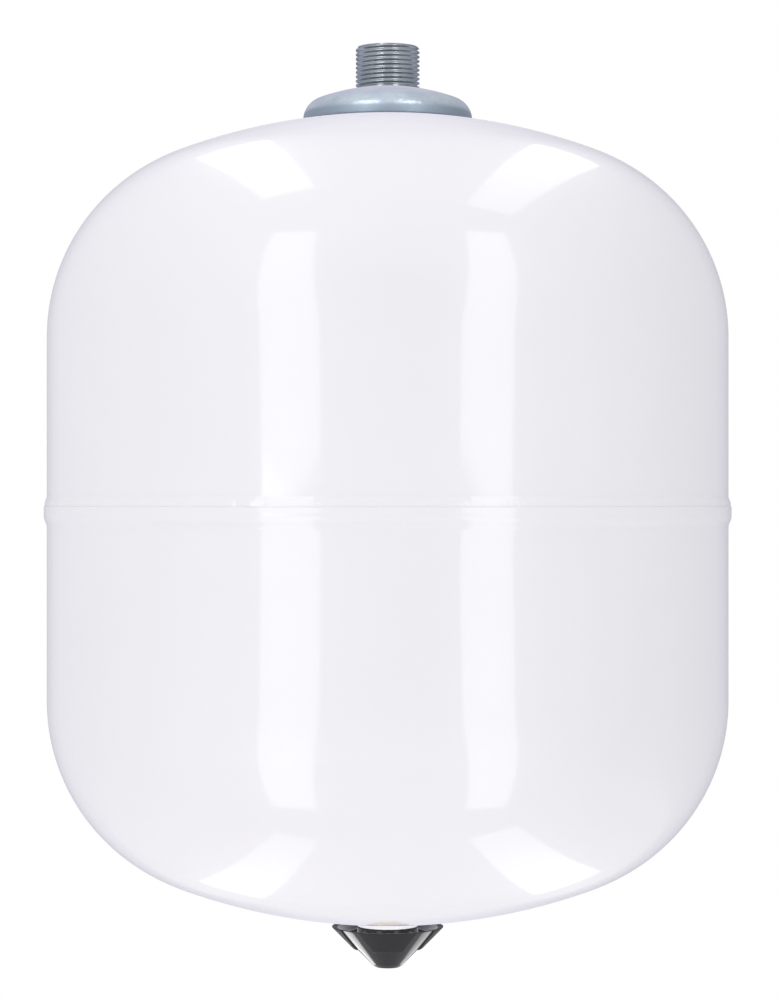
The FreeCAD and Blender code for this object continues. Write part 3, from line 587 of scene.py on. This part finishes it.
def seam_weld():
    """The painted bead: a crowned fillet with ripples, a wandering toe and an overlapped stop."""
    middle = (WELD_TOP_Z + LIP_Z) / 2
    half = (WELD_TOP_Z - LIP_Z) / 2
    steps = 12
    face = []
    for k in range(steps + 1):
        s = k / steps
        bulge = math.sin(math.pi / 2 * min(1, s / WELD_CREST)) ** WELD_FULLNESS
        face.append((SHELL_RADIUS + WELD_THROAT * bulge, WELD_TOP_Z + 2 * half * -s))
    root = SHELL_RADIUS - WELD_ROOT
    outline = [(root, WELD_TOP_Z)] + face + [(root, LIP_Z)]

    def ripple(turn, radius, z):
        rise = max(0, radius - SHELL_RADIUS)
        across = (z - middle) / half
        lift = WELD_WANDER * drift(turn, 22, 7) * max(0, across)
        return radius - rise + rise * weld_height(turn, across), z + lift

    piece = lathe("coated_seam_weld", outline, WELD_STEPS, ripple, sharp=60)
    stand_in(piece, "vessel", "white_paint", WHITE, "seam_weld")


def connection_flange():
    """The domed zinc-plated disc, its rim turned down onto the shell."""
    radius, crown, knuckle, wall = 34.9 * MM, 84 * MM, 9 * MM, 3 * MM
    outside = dished(FLANGE_APEX_Z, radius, crown, knuckle, HOLE, 1, 24)
    inside = dished(FLANGE_APEX_Z - wall, radius - wall, crown - wall, knuckle - wall, HOLE, 1, 16)
    foot, rim_round = radius - 1 * MM, 1.1 * MM
    rim = arc((foot - 0.1 * MM, FLANGE_RIM_Z), rim_round, 0, -76, 8)
    seat = [(r, crown_z(SHELL_TOP, CROWN, 1, r)) for r in (foot - 0.4 * MM, radius - wall)]
    piece = lathe("plated_flange", outside + rim + seat + inside[::-1], FITTING_STEPS)
    stand_in(piece, "vessel", "zinc_plate", FLANGE_ZINC, "connection_flange")


PIPE_PITCH = 1.814 * MM
PIPE_RADIUS = 13.2205 * MM
NIPPLE_BORE = 9 * MM


def threaded_nipple():
    """The turned nipple with its G 3/4 thread, undercut, neck and inner collar."""
    form = whitworth(PIPE_PITCH, PIPE_RADIUS)
    root = PIPE_RADIUS - THREAD_DEPTH * PIPE_PITCH - 0.06 * MM
    thread_end, relief_end = -16.9 * MM, -18.0 * MM
    collar_top, collar_end, collar = -35 * MM, -38 * MM, 22 * MM
    rest = [(root, thread_end - 0.3 * MM), (root, relief_end), (HOLE, relief_end),
            (HOLE, collar_top), (collar, collar_top), (collar, collar_end + 1 * MM),
            (collar - 1 * MM, collar_end), (NIPPLE_BORE, collar_end),
            (NIPPLE_BORE, -1.0 * MM), (NIPPLE_BORE + 0.5 * MM, -0.15 * MM),
            (NIPPLE_BORE + 0.7 * MM, 0)]
    mouth = PIPE_RADIUS - 0.9 * MM
    rest.append((mouth - 0.15 * MM, 0))
    piece = threaded_bar("plated_nipple", form, PIPE_PITCH, 0, thread_end, mouth, rest,
                         FITTING_STEPS)
    stand_in(piece, "vessel", "zinc_thread", THREAD_ZINC, "threaded_nipple")


BOSS_SHOULDER_Z = -363 * MM
BOSS_BORE = 5 * MM
SPIGOT_RADIUS = 9 * MM
SPIGOT_PITCH = 1.5 * MM
SPIGOT_END_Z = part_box("valve_boss")[0].z


def valve_boss():
    """The turned boss: head inside the shell, plain barrel, and the spigot that takes the cap."""
    end, head_top = SPIGOT_END_Z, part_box("valve_boss")[1].z
    head, chamfer = 17 * MM, 0.3 * MM
    thread_end, groove_start, shoulder = -8.0 * MM, -8.1 * MM, -8.4 * MM
    groove = SPIGOT_RADIUS - 0.9 * MM
    rest = [(groove, groove_start), (groove, shoulder),
            (BOSS_RADIUS - chamfer, shoulder), (BOSS_RADIUS, shoulder - chamfer)]
    for radius in (BOSS_RADIUS, head):
        seat = crown_z(SHELL_BOTTOM + SHELL_WALL, CROWN - SHELL_WALL, -1, radius)
        rest.append((radius, end - seat))
    rest += [(head, end - head_top - chamfer), (head - chamfer, end - head_top),
             (BOSS_BORE, end - head_top), (BOSS_BORE, 0)]
    mouth = SPIGOT_RADIUS - 0.8 * MM
    piece = threaded_bar("painted_boss", whitworth(SPIGOT_PITCH, SPIGOT_RADIUS), SPIGOT_PITCH,
                         0, thread_end, mouth, rest, BOSS_STEPS)
    # built mouth up, then turned over about X
    for vertex in piece.data.vertices:
        x, y, z = vertex.co
        vertex.co = (x, -y, end - z)
    stand_in(piece, "vessel", "painted_boss", BOSS_WHITE, "valve_boss")


def boss_weld():
    """The painted fillet between the boss and the shell."""
    leg, hollow, steps = 2.1 * MM, Vector((-0.28, 0.28)) * MM, 8

    def on_shell(radius):
        return crown_z(SHELL_BOTTOM, CROWN, -1, radius)

    start = Vector((BOSS_RADIUS + leg, on_shell(BOSS_RADIUS + leg)))
    finish = Vector((BOSS_RADIUS, SHELL_BOTTOM - leg))
    outline = [(BOSS_RADIUS, on_shell(BOSS_RADIUS))]
    for k in range(steps + 1):
        s = k / steps
        place = start.lerp(finish, s) + hollow * math.sin(math.pi * s)
        outline.append((place.x, place.y))
    ripples, height = 46, 0.05 * MM

    def ripple(turn, radius, z):
        on_face = radius > BOSS_RADIUS + 0.3 * MM
        return radius + (height * math.sin(turn * ripples) if on_face else 0), z

    piece = lathe("coated_boss_weld", outline, BOSS_WELD_STEPS, ripple, sharp=60)
    stand_in(piece, "vessel", "white_paint", WHITE, "boss_weld")


# ---------------------------------------------------------------- cap

SLOT_HALF = 4.8 * MM
CAP_HEIGHT = CAP_TOP_Z - CAP_TIP_Z
CONE_TAPER = (CAP_RADIUS - CAP_TIP_RADIUS) / CAP_HEIGHT
EDGE, FILLET = 0.4 * MM, 0.3 * MM          # roundings of a lug's outer edges and of its foot
RIM_ROUND = 0.3 * MM
TIP_ROUND = 0.8 * MM
CONE_END = CAP_HEIGHT - TIP_ROUND
CAP_SKIN = CAP_RADIUS - 2 * math.sqrt(2) * MM   # the skin's inside, if it ran on up to the rim
SKIN_START, SKIN_END = 2.4 * MM, 5.5 * MM  # depths of the hollow between skin and collar
COLLAR_RADIUS = 12.6 * MM
CAP_SEAT, CAP_SEAT_DEPTH = 11.4 * MM, 1.3 * MM   # recess for the cap's seal
CAP_BORE, CAP_BORE_DEPTH = 9.3 * MM, 8.8 * MM
CAVITY, CAVITY_END, CAVITY_DEPTH = 8.3 * MM, 5.2 * MM, 14.2 * MM


def cone_radius(depth):
    return CAP_RADIUS + (CAP_TIP_RADIUS - CAP_RADIUS) * depth / CAP_HEIGHT


def lug_height(depth):
    """How far a lug stands out from the cone."""
    top = LUG_RADIUS + (LUG_END_RADIUS - LUG_RADIUS) * depth / LUG_END
    return top - cone_radius(depth)


def lug_columns():
    """Half a slot and half a lug: (offset from the slot's middle, share of lug, rise, drop).

    A rise is measured up from the cone and a drop down from the lug's face.
    """
    columns = [(SLOT_HALF * k / 5, 0, 0, None) for k in range(4)]
    columns += [(SLOT_HALF - FILLET + FILLET * s, 0, FILLET * c, None) for c, s in quarter_arc(3)]
    columns += [(SLOT_HALF + EDGE * c, 0, None, EDGE * (1 - s)) for c, s in quarter_arc(4)]
    columns += [(SLOT_HALF + EDGE, k / 10, None, 0) for k in range(1, 11)]
    return columns


def cap_columns():
    """Columns all round the cap: (a slot's azimuth, which side of it, column of half a slot)."""
    half = lug_columns()
    columns = []
    for quarter in range(4):
        diagonal = math.radians(45 + 90 * quarter)
        columns += [(diagonal, 1, column) for column in half]
        columns += [(diagonal + math.pi / 2, -1, column) for column in half[-2:0:-1]]
    return columns


def cap_rows():
    """Rows down the cap's outside: (depth, cut, inset), the last two as cap_outside takes them."""
    lug_end = LUG_END - EDGE
    rows = [(RIM_ROUND * c, None, RIM_ROUND * (1 - s)) for c, s in quarter_arc(4)]
    rows += [(RIM_ROUND + (lug_end - RIM_ROUND) * k / 12, None, 0) for k in range(1, 13)]
    rows += [(lug_end + EDGE * s, EDGE * (1 - c), 0) for c, s in quarter_arc(4)[1:]]
    rows.append((LUG_END + 0.02 * MM, -1, 0))
    rows += [(LUG_END + (CONE_END - LUG_END) * k / 10, -1, 0) for k in range(1, 11)]
    return rows


def cap_outside(column, depth, cut, inset):
    """Radius and azimuth of the cap's outside at a column and a depth below the rim.

    A lug is held to its height less EDGE plus cut, so a cut of -1 leaves the bare cone and
    None the whole lug. inset is what the rim's rounding takes off the radius.
    """
    diagonal, side, (offset, share, rise, drop) = column
    height = lug_height(min(depth, LUG_END))
    lift = height - drop if rise is None else min(rise, height)
    lift = min(lift, max(0, height - EDGE + cut) if cut is not None else height)
    radius = cone_radius(depth) + lift - inset
    wall = math.asin(offset / (cone_radius(min(depth, LUG_END)) + lift))
    return radius, diagonal + side * (wall + (math.pi / 4 - wall) * share)


def cap_tip():
    """(radius, depth) from the cone's end to the middle of the tip, with its sunk gate mark."""
    tip = []
    for k in range(1, 5):
        s = k / 4
        tip.append((CAP_TIP_RADIUS + 0.3 * MM - 0.55 * MM * s - 0.4 * MM * s ** 3,
                    CONE_END + TIP_ROUND * math.sin(math.pi / 2 * s)))
    gate = ((1.6, 0), (1.45, 0.3), (0.7, 0.3), (0.55, 0.12), (0, 0.1))
    return tip + [(radius * MM, CAP_HEIGHT - sunk * MM) for radius, sunk in gate]


def cap_inside():
    """(radius, depth) from rim to axis: hollow, collar, the seal's recess, thread and cavity."""
    ease, small = 0.4 * MM, 0.25 * MM
    outline = [(CAP_RADIUS - 0.6 * MM, 0), (CAP_SKIN - CONE_TAPER * SKIN_START, SKIN_START),
               (CAP_SKIN - CONE_TAPER * (SKIN_END - ease), SKIN_END - ease),
               (CAP_SKIN - CONE_TAPER * SKIN_END - ease, SKIN_END),
               (COLLAR_RADIUS + ease, SKIN_END), (COLLAR_RADIUS, SKIN_END - ease),
               (COLLAR_RADIUS, small), (COLLAR_RADIUS - small, 0), (CAP_SEAT + small, 0),
               (CAP_SEAT, small), (CAP_SEAT, CAP_SEAT_DEPTH),
               (CAP_BORE + 0.2 * MM, CAP_SEAT_DEPTH), (CAP_BORE, CAP_SEAT_DEPTH + 0.2 * MM)]
    groove = CAP_BORE + 0.32 * MM
    for turn in range(4):
        start = 2 * MM + SPIGOT_PITCH * turn
        outline += [(CAP_BORE, start), (groove, start + 0.45 * MM), (groove, start + 0.65 * MM),
                    (CAP_BORE, start + 1.1 * MM)]
    return outline + [(CAP_BORE, CAP_BORE_DEPTH), (CAVITY, CAP_BORE_DEPTH),
                      (CAVITY_END, CAVITY_DEPTH), (0, CAVITY_DEPTH)]


def cap_rib(turn, first):
    """Points and faces of a rib from collar to skin; first is the number of its first point."""
    half, bite = 0.6 * MM, 0.3 * MM
    side = [(COLLAR_RADIUS - bite, 0.8 * MM),
            (CAP_SKIN + bite - CONE_TAPER * SKIN_START, SKIN_START),
            (CAP_SKIN + bite - CONE_TAPER * SKIN_END, SKIN_END + bite),
            (COLLAR_RADIUS - bite, SKIN_END + bite)]
    points = []
    for way in (-1, 1):
        for r, d in side:
            thin = half * (0.75 if d < 1 * MM else 1) * way
            points.append((r * math.cos(turn) - thin * math.sin(turn),
                           r * math.sin(turn) + thin * math.cos(turn), CAP_TOP_Z - d))
    faces = [tuple(first + j for j in (0, 1, 2, 3)), tuple(first + j for j in (7, 6, 5, 4))]
    for j in range(4):
        across = (j + 1) % 4
        faces.append((first + j, first + 4 + j, first + 4 + across, first + across))
    return points, faces


def valve_cap():
    """The moulded cone: lugs and slots outside; rim, ribs, threaded collar and cavity inside."""
    columns = cap_columns()
    rim_angles = [cap_outside(column, 0, None, 0)[1] for column in columns]
    low_angles = [cap_outside(column, LUG_END + 1 * MM, -1, 0)[1] for column in columns]
    grid = [[(r, a, d) for a in low_angles] for r, d in reversed(cap_tip())]
    for depth, cut, inset in reversed(cap_rows()):
        grid.append([(*cap_outside(column, depth, cut, inset), depth) for column in columns])
    grid += [[(r, a, d) for a in rim_angles] for r, d in cap_inside()]
    points = [(r * math.cos(a), r * math.sin(a), CAP_TOP_Z - d) for row in grid for r, a, d in row]
    faces = ring_faces(len(grid), len(columns))
    ribs = 8
    for n in range(ribs):
        rib_points, rib_faces = cap_rib(2 * math.pi * n / ribs, len(points))
        points += rib_points
        faces += rib_faces
    piece = mesh_object("moulded_cap", points, faces, sharp=40)
    stand_in(piece, "cap", "black_plastic", BLACK, "valve_cap")


# ---------------------------------------------------------------- the diaphragm's wall and the core's spring

def rolling_wall():
    """The diaphragm's wall, a thin ring with shallow ribs round its outside."""
    low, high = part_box("diaphragm_wall")
    outer, wall = high.x, 2 * MM
    rows, ribs, rib_depth = 48, 12, 0.18 * MM
    outside = []
    for k in range(rows + 1):
        s = k / rows
        rib = rib_depth * (math.cos(2 * math.pi * ribs * s) - 1) / 2
        outside.append((outer + rib, low.z + (high.z - low.z) * s))
    outline = outside + [(outer - wall, z) for r, z in reversed(outside)]
    piece = lathe("rolling_wall", outline, WALL_STEPS)
    piece.data.materials.append(DIAPHRAGM)
    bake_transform(piece)
    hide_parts("diaphragm_wall")


def core_spring():
    """The valve core's spring, wound round its pin."""
    low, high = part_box("valve_spring")
    wire, turns, per_turn, sides = 0.13 * MM, 8, 40, 10
    coil = 1.06 * MM
    bottom, top = low.z + wire, high.z - wire
    count = turns * per_turn + 1
    points = []
    for i in range(count):
        turn = 2 * math.pi * i / per_turn
        z = bottom + (top - bottom) * i / (count - 1)
        for k in range(sides):
            angle = 2 * math.pi * k / sides
            r = coil + wire * math.cos(angle)
            points.append((r * math.cos(turn), r * math.sin(turn), z + wire * math.sin(angle)))
    faces = ring_faces(count, sides)
    faces.append(tuple(range(sides - 1, -1, -1)))
    faces.append(tuple((count - 1) * sides + k for k in range(sides)))
    piece = mesh_object("core_spring", points, faces, sharp=60)
    piece.data.materials.append(WIRE)
    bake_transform(piece)
    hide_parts("valve_spring")


upper_shell()
lower_shell()
seam_weld()
connection_flange()
threaded_nipple()
valve_boss()
boss_weld()
valve_cap()
rolling_wall()
core_spring()

CARRIED = {
    "connection_gasket": SEAL, "valve_body_seal": SEAL, "valve_core_seal": SEAL,
    "valve_pin_seal": SEAL, "cap_seal": SEAL, "water_liner": LINER,
    "diaphragm_bead": DIAPHRAGM, "diaphragm_crown": DIAPHRAGM, "clench_ring": BAND,
    "valve_body": BRASS, "valve_core_body": BRASS, "valve_pin": BRASS,
}
for node, material in CARRIED.items():
    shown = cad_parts[node]
    shown.data.materials.clear()
    shown.data.materials.append(material)


# ---------------------------------------------------------------- floor, light and camera

CENTRE_Z = (cad_low.z + cad_high.z) / 2
FLOOR_Z = -3.6
FLOOR_RADIUS = 7.0


def floor():
    """A plain pale disc well below the hanging vessel."""
    steps, rings = 96, 12
    points = [(0, 0, FLOOR_Z)]
    turns = [2 * math.pi * i / steps for i in range(steps)]
    for k in range(1, rings + 1):
        radius = FLOOR_RADIUS * k / rings
        points += [(radius * math.cos(t), radius * math.sin(t), FLOOR_Z) for t in turns]
    faces = [(0, 1 + i, 1 + (i + 1) % steps) for i in range(steps)]
    for k in range(rings - 1):
        a, b = 1 + k * steps, 1 + (k + 1) * steps
        faces += [(a + i, b + i, b + (i + 1) % steps, a + (i + 1) % steps) for i in range(steps)]
    disc = mesh_object("floor", points, faces)
    material, tree, shader, place = new_material("pale_floor")
    tone = tinted(tree, grain(tree, place, 3, detail=3), (0.86, 0.86, 0.87), (0.90, 0.90, 0.905))
    tree.links.new(tone, shader.inputs["Base Color"])
    set_inputs(shader, Roughness=0.8)
    disc.data.materials.append(material)


def softbox(name, centre, aim, width, height, radiance, spin=0.0):
    """A rectangular area light of a given radiance that only reflections show."""
    light = bpy.data.lights.new(name, "AREA")
    light.shape = "RECTANGLE"
    light.size = width
    light.size_y = height
    light.energy = radiance * math.pi * width * height
    lamp = bpy.data.objects.new(name, light)
    bpy.context.scene.collection.objects.link(lamp)
    direction = Vector(aim) - Vector(centre)
    lamp.rotation_mode = "QUATERNION"
    lamp.rotation_quaternion = direction.to_track_quat("-Z", "Y") @ Quaternion((0, 0, 1), spin)
    lamp.location = centre
    lamp.visible_camera = False
    lamp.visible_diffuse = False
    return lamp


def for_diffuse_only(lamp):
    """Let a softbox light surfaces, and take it out of their reflections."""
    lamp.visible_diffuse = True
    lamp.visible_glossy = False


STRIP_REACH = 1.8          # from the vessel's axis to the standing softboxes
STRIP_LENGTH = 2.17        # of each half of one, above and below the vessel's middle
STRIPS = (                 # side, azimuth in degrees, width, lean in degrees, radiance
    ("left", -29.9, 0.60, 8.1, 1.7),
    ("right", 30.6, 0.53, 9.4, 1.78),
)
OVERHEAD = 1.3             # height of the level softboxes above the vessel's middle
UNDER = 1.0                # and depth of those below it
LEVEL_BOXES = (            # name, height, spans across and along as shares of it, radiance
    ("over_left", OVERHEAD, (-0.51, -0.27), (-0.15, 1.1), 1.55),
    ("over_right", OVERHEAD, (0.34, 0.60), (-0.35, 1.2), 1.25),
    ("under_left", -UNDER, (-0.49, -0.28), (-0.32, 1.0), 1.0),
    ("under_right", -UNDER, (0.34, 0.60), (-0.33, 1.05), 1.2),
)
CAP_BOXES = (              # the same, for the cap alone
    ("cap_left", -UNDER, (-0.80, -0.46), (0.6, 1.5), 3.5),
    ("cap_right", -UNDER, (0.46, 0.80), (0.6, 1.5), 1.7),
)
METAL_AIM_Z = -25 * MM     # what the boxes for flange and nipple face
METAL_RISE = 44            # degrees above that
METAL_BOXES = (            # name, azimuth in degrees, width, height, radiance, the piece it lights
    ("flange_left", -29, 0.5, 0.32, 6.5, "plated_flange"),
    ("flange_right", 32, 0.5, 0.32, 5.0, "plated_flange"),
    ("nipple_left", -25, 0.24, 0.4, 18.0, "plated_nipple"),
    ("nipple_right", 29, 0.24, 0.4, 11.0, "plated_nipple"),
)
FOOT_SIZE = 70 * MM        # a dim square on the flange, as the nipple's thread reflects it
FOOT_Z = FLANGE_APEX_Z + 0.1 * MM
FOOT_RADIANCE = 0.22
FILL = 4.0                 # side of the square fill below
FILL_DEPTH = 2.6
FILL_RADIANCE = 0.4
SLIT_REACH = 0.6           # from the axis to a slit that lights the boss between shell and cap
SLIT_WIDTH, SLIT_HEIGHT = 0.5, 0.01
SLIT_RADIANCE = 45


def level_box(name, height, across, along, radiance):
    """A level softbox facing the vessel; across and along are spans as shares of its height."""
    reach = abs(height)
    (left, right), (front, back) = across, along
    centre = ((left + right) / 2 * reach, (back + front) / 2 * reach, CENTRE_Z + height)
    aim = (centre[0], centre[1], CENTRE_Z)
    return softbox(name, centre, aim, (right - left) * reach, (back - front) * reach, radiance)


def standing_box(name, azimuth, width, lean, radiance):
    """A tall softbox in two halves, whose far ends lean away from the camera's side."""
    side = math.copysign(1, azimuth)
    turn, lean = math.radians(azimuth), math.radians(lean)
    facing = Vector((-math.sin(turn), math.cos(turn), 0))
    outward = Vector((math.cos(turn), math.sin(turn), 0)) * side
    foot = -facing * STRIP_REACH + Vector((0, 0, CENTRE_Z))
    for half, way in (("upper", 1), ("lower", -1)):
        along = outward * math.sin(lean) + Vector((0, 0, way * math.cos(lean)))
        centre = foot + along * (STRIP_LENGTH / 2)
        softbox(f"strip_{name}_{half}", centre, centre + facing, width, STRIP_LENGTH, radiance,
                spin=-side * way * lean)


def only_for(lamps, label, *pieces):
    """Let lamps light only these pieces."""
    lit = bpy.data.collections.new(label)
    for piece in pieces:
        lit.objects.link(bpy.data.objects[piece])
    for lamp in lamps:
        lamp.light_linking.receiver_collection = lit


def metal_box(name, azimuth, width, height, radiance, piece):
    """A softbox above and in front of the flange that lights one piece."""
    turn, rise = math.radians(azimuth), math.radians(METAL_RISE)
    aim = Vector((0, 0, METAL_AIM_Z))
    centre = aim + STRIP_REACH * Vector((math.sin(turn) * math.cos(rise),
                                         -math.cos(turn) * math.cos(rise), math.sin(rise)))
    only_for([softbox(name, centre, aim, width, height, radiance)], f"lit_by_{name}", piece)


def studio():
    """All the softboxes: those for reflections, then the two for diffuse light."""
    for strip in STRIPS:
        standing_box(*strip)
    only_for([level_box(*box) for box in LEVEL_BOXES], "lit_by_level_boxes",
             "coated_upper_shell", "coated_lower_shell", "coated_seam_weld")
    only_for([level_box(*box) for box in CAP_BOXES], "lit_by_cap_boxes", "moulded_cap")
    for box in METAL_BOXES:
        metal_box(*box)
    foot = softbox("nipple_foot", (0, 0, FOOT_Z), (0, 0, 0), FOOT_SIZE, FOOT_SIZE, FOOT_RADIANCE)
    only_for([foot], "lit_by_foot", "plated_nipple")
    fill = softbox("fill_under", (0, 0, CENTRE_Z - FILL_DEPTH), (0, 0, CENTRE_Z), FILL, FILL,
                   FILL_RADIANCE)
    for_diffuse_only(fill)
    boss_z = (BOSS_SHOULDER_Z + SHELL_BOTTOM) / 2
    slit = softbox("boss_slit", (0, -SLIT_REACH, boss_z), (0, 0, boss_z), SLIT_WIDTH, SLIT_HEIGHT,
                   SLIT_RADIANCE)
    for_diffuse_only(slit)
    only_for([slit], "lit_by_slit", "painted_boss", "coated_boss_weld")


UNMIRRORED = ("plated_nipple", "plated_flange", "moulded_cap")


def hide_from_shell():
    """As in the photo, the shell mirrors none of the fittings and the cap casts no shade on it."""
    for name in UNMIRRORED:
        bpy.data.objects[name].visible_glossy = False
    bpy.data.objects["moulded_cap"].visible_diffuse = False


ROOM = 0.725               # radiance level with the vessel and beside it, and how it changes
ROOM_RIGHT = -0.078        # to the right,
ROOM_REAR = -0.16          # to the rear,
ROOM_ENDS = 0.2            # towards both front and rear,
ROOM_POLES = 0.4           # and straight up and down
GLOSS_FRONT = -0.4         # what reflections add to it: in front, level and above,
GLOSS_FLAGS = -0.22        # behind, on either side of the middle,
GLOSS_RIGHT = -0.03        # and to the right
ROOM_FRONT_TINT = (1.0, 1.0, 1.0)
ROOM_REAR_TINT = (0.985, 0.97, 1.09)


def room_tone(tree, x, y, z, reflected):
    """The room's radiance in each direction; reflected is 1 for what a reflection sees, or 0."""
    tone = new_sum(tree, ROOM, [(x, ROOM_RIGHT), (y, ROOM_REAR),
                                (multiplied(tree, y, y), ROOM_ENDS),
                                (multiplied(tree, z, z), ROOM_POLES)])
    front = multiplied(tree, spread(tree, y, -0.9, -0.5, GLOSS_FRONT, 0),
                       spread(tree, z, -0.45, -0.05, 0, 1))
    aside = computed(tree, "ABSOLUTE", x)
    flags = multiplied(tree, spread(tree, aside, 0.02, 0.15, 0, GLOSS_FLAGS),
                       spread(tree, y, 0.78, 1, 0, 1))
    change = new_sum(tree, 0, [(front, 1), (flags, 1), (x, GLOSS_RIGHT)])
    return new_sum(tree, 0, [(multiplied(tree, reflected, change), 1), (tone, 1)])


def surroundings():
    """White behind the vessel for the camera, and a softer, side-lit room for everything else.

    Reflections see it a little darker in front and behind, which shades the shell's middle and
    edges as in the photo.
    """
    world = bpy.data.worlds.new("studio")
    world.use_nodes = True
    bpy.context.scene.world = world
    tree = world.node_tree
    tree.nodes.clear()
    place = tree.nodes.new("ShaderNodeTexCoord").outputs["Generated"]
    x, y, z = (coordinate(tree, place, axis) for axis in "XYZ")
    path = tree.nodes.new("ShaderNodeLightPath")
    room = tree.nodes.new("ShaderNodeBackground")
    tree.links.new(tinted(tree, spread(tree, y, 0, 1, 0, 1), ROOM_FRONT_TINT, ROOM_REAR_TINT),
                   room.inputs["Color"])
    tree.links.new(room_tone(tree, x, y, z, path.outputs["Is Glossy Ray"]), room.inputs["Strength"])
    plain = tree.nodes.new("ShaderNodeBackground")
    plain.inputs["Color"].default_value = (1, 1, 1, 1)
    mix = tree.nodes.new("ShaderNodeMixShader")
    tree.links.new(path.outputs["Is Camera Ray"], mix.inputs[0])
    tree.links.new(room.outputs[0], mix.inputs[1])
    tree.links.new(plain.outputs[0], mix.inputs[2])
    out = tree.nodes.new("ShaderNodeOutputWorld")
    tree.links.new(mix.outputs[0], out.inputs["Surface"])


CAMERA_DISTANCE = 1.24
CAMERA_RIGHT = 0.55 * MM
CAMERA_Z = -187.1 * MM     # close to the height of the seam
CAMERA_LENS = 108          # of a frame 36 wide


def camera():
    """A level long-lens camera in front of the vessel, a hair to its right."""
    data = bpy.data.cameras.new("camera")
    data.lens = CAMERA_LENS
    data.sensor_width = 36
    data.clip_end = 60
    eye = bpy.data.objects.new("camera", data)
    bpy.context.scene.collection.objects.link(eye)
    eye.location = (CAMERA_RIGHT, -CAMERA_DISTANCE, CAMERA_Z)
    eye.rotation_euler = (math.pi / 2, 0, 0)
    bpy.context.scene.camera = eye


hide_from_shell()
floor()
studio()
surroundings()
camera()
bpy.context.scene.view_settings.view_transform = "Standard"
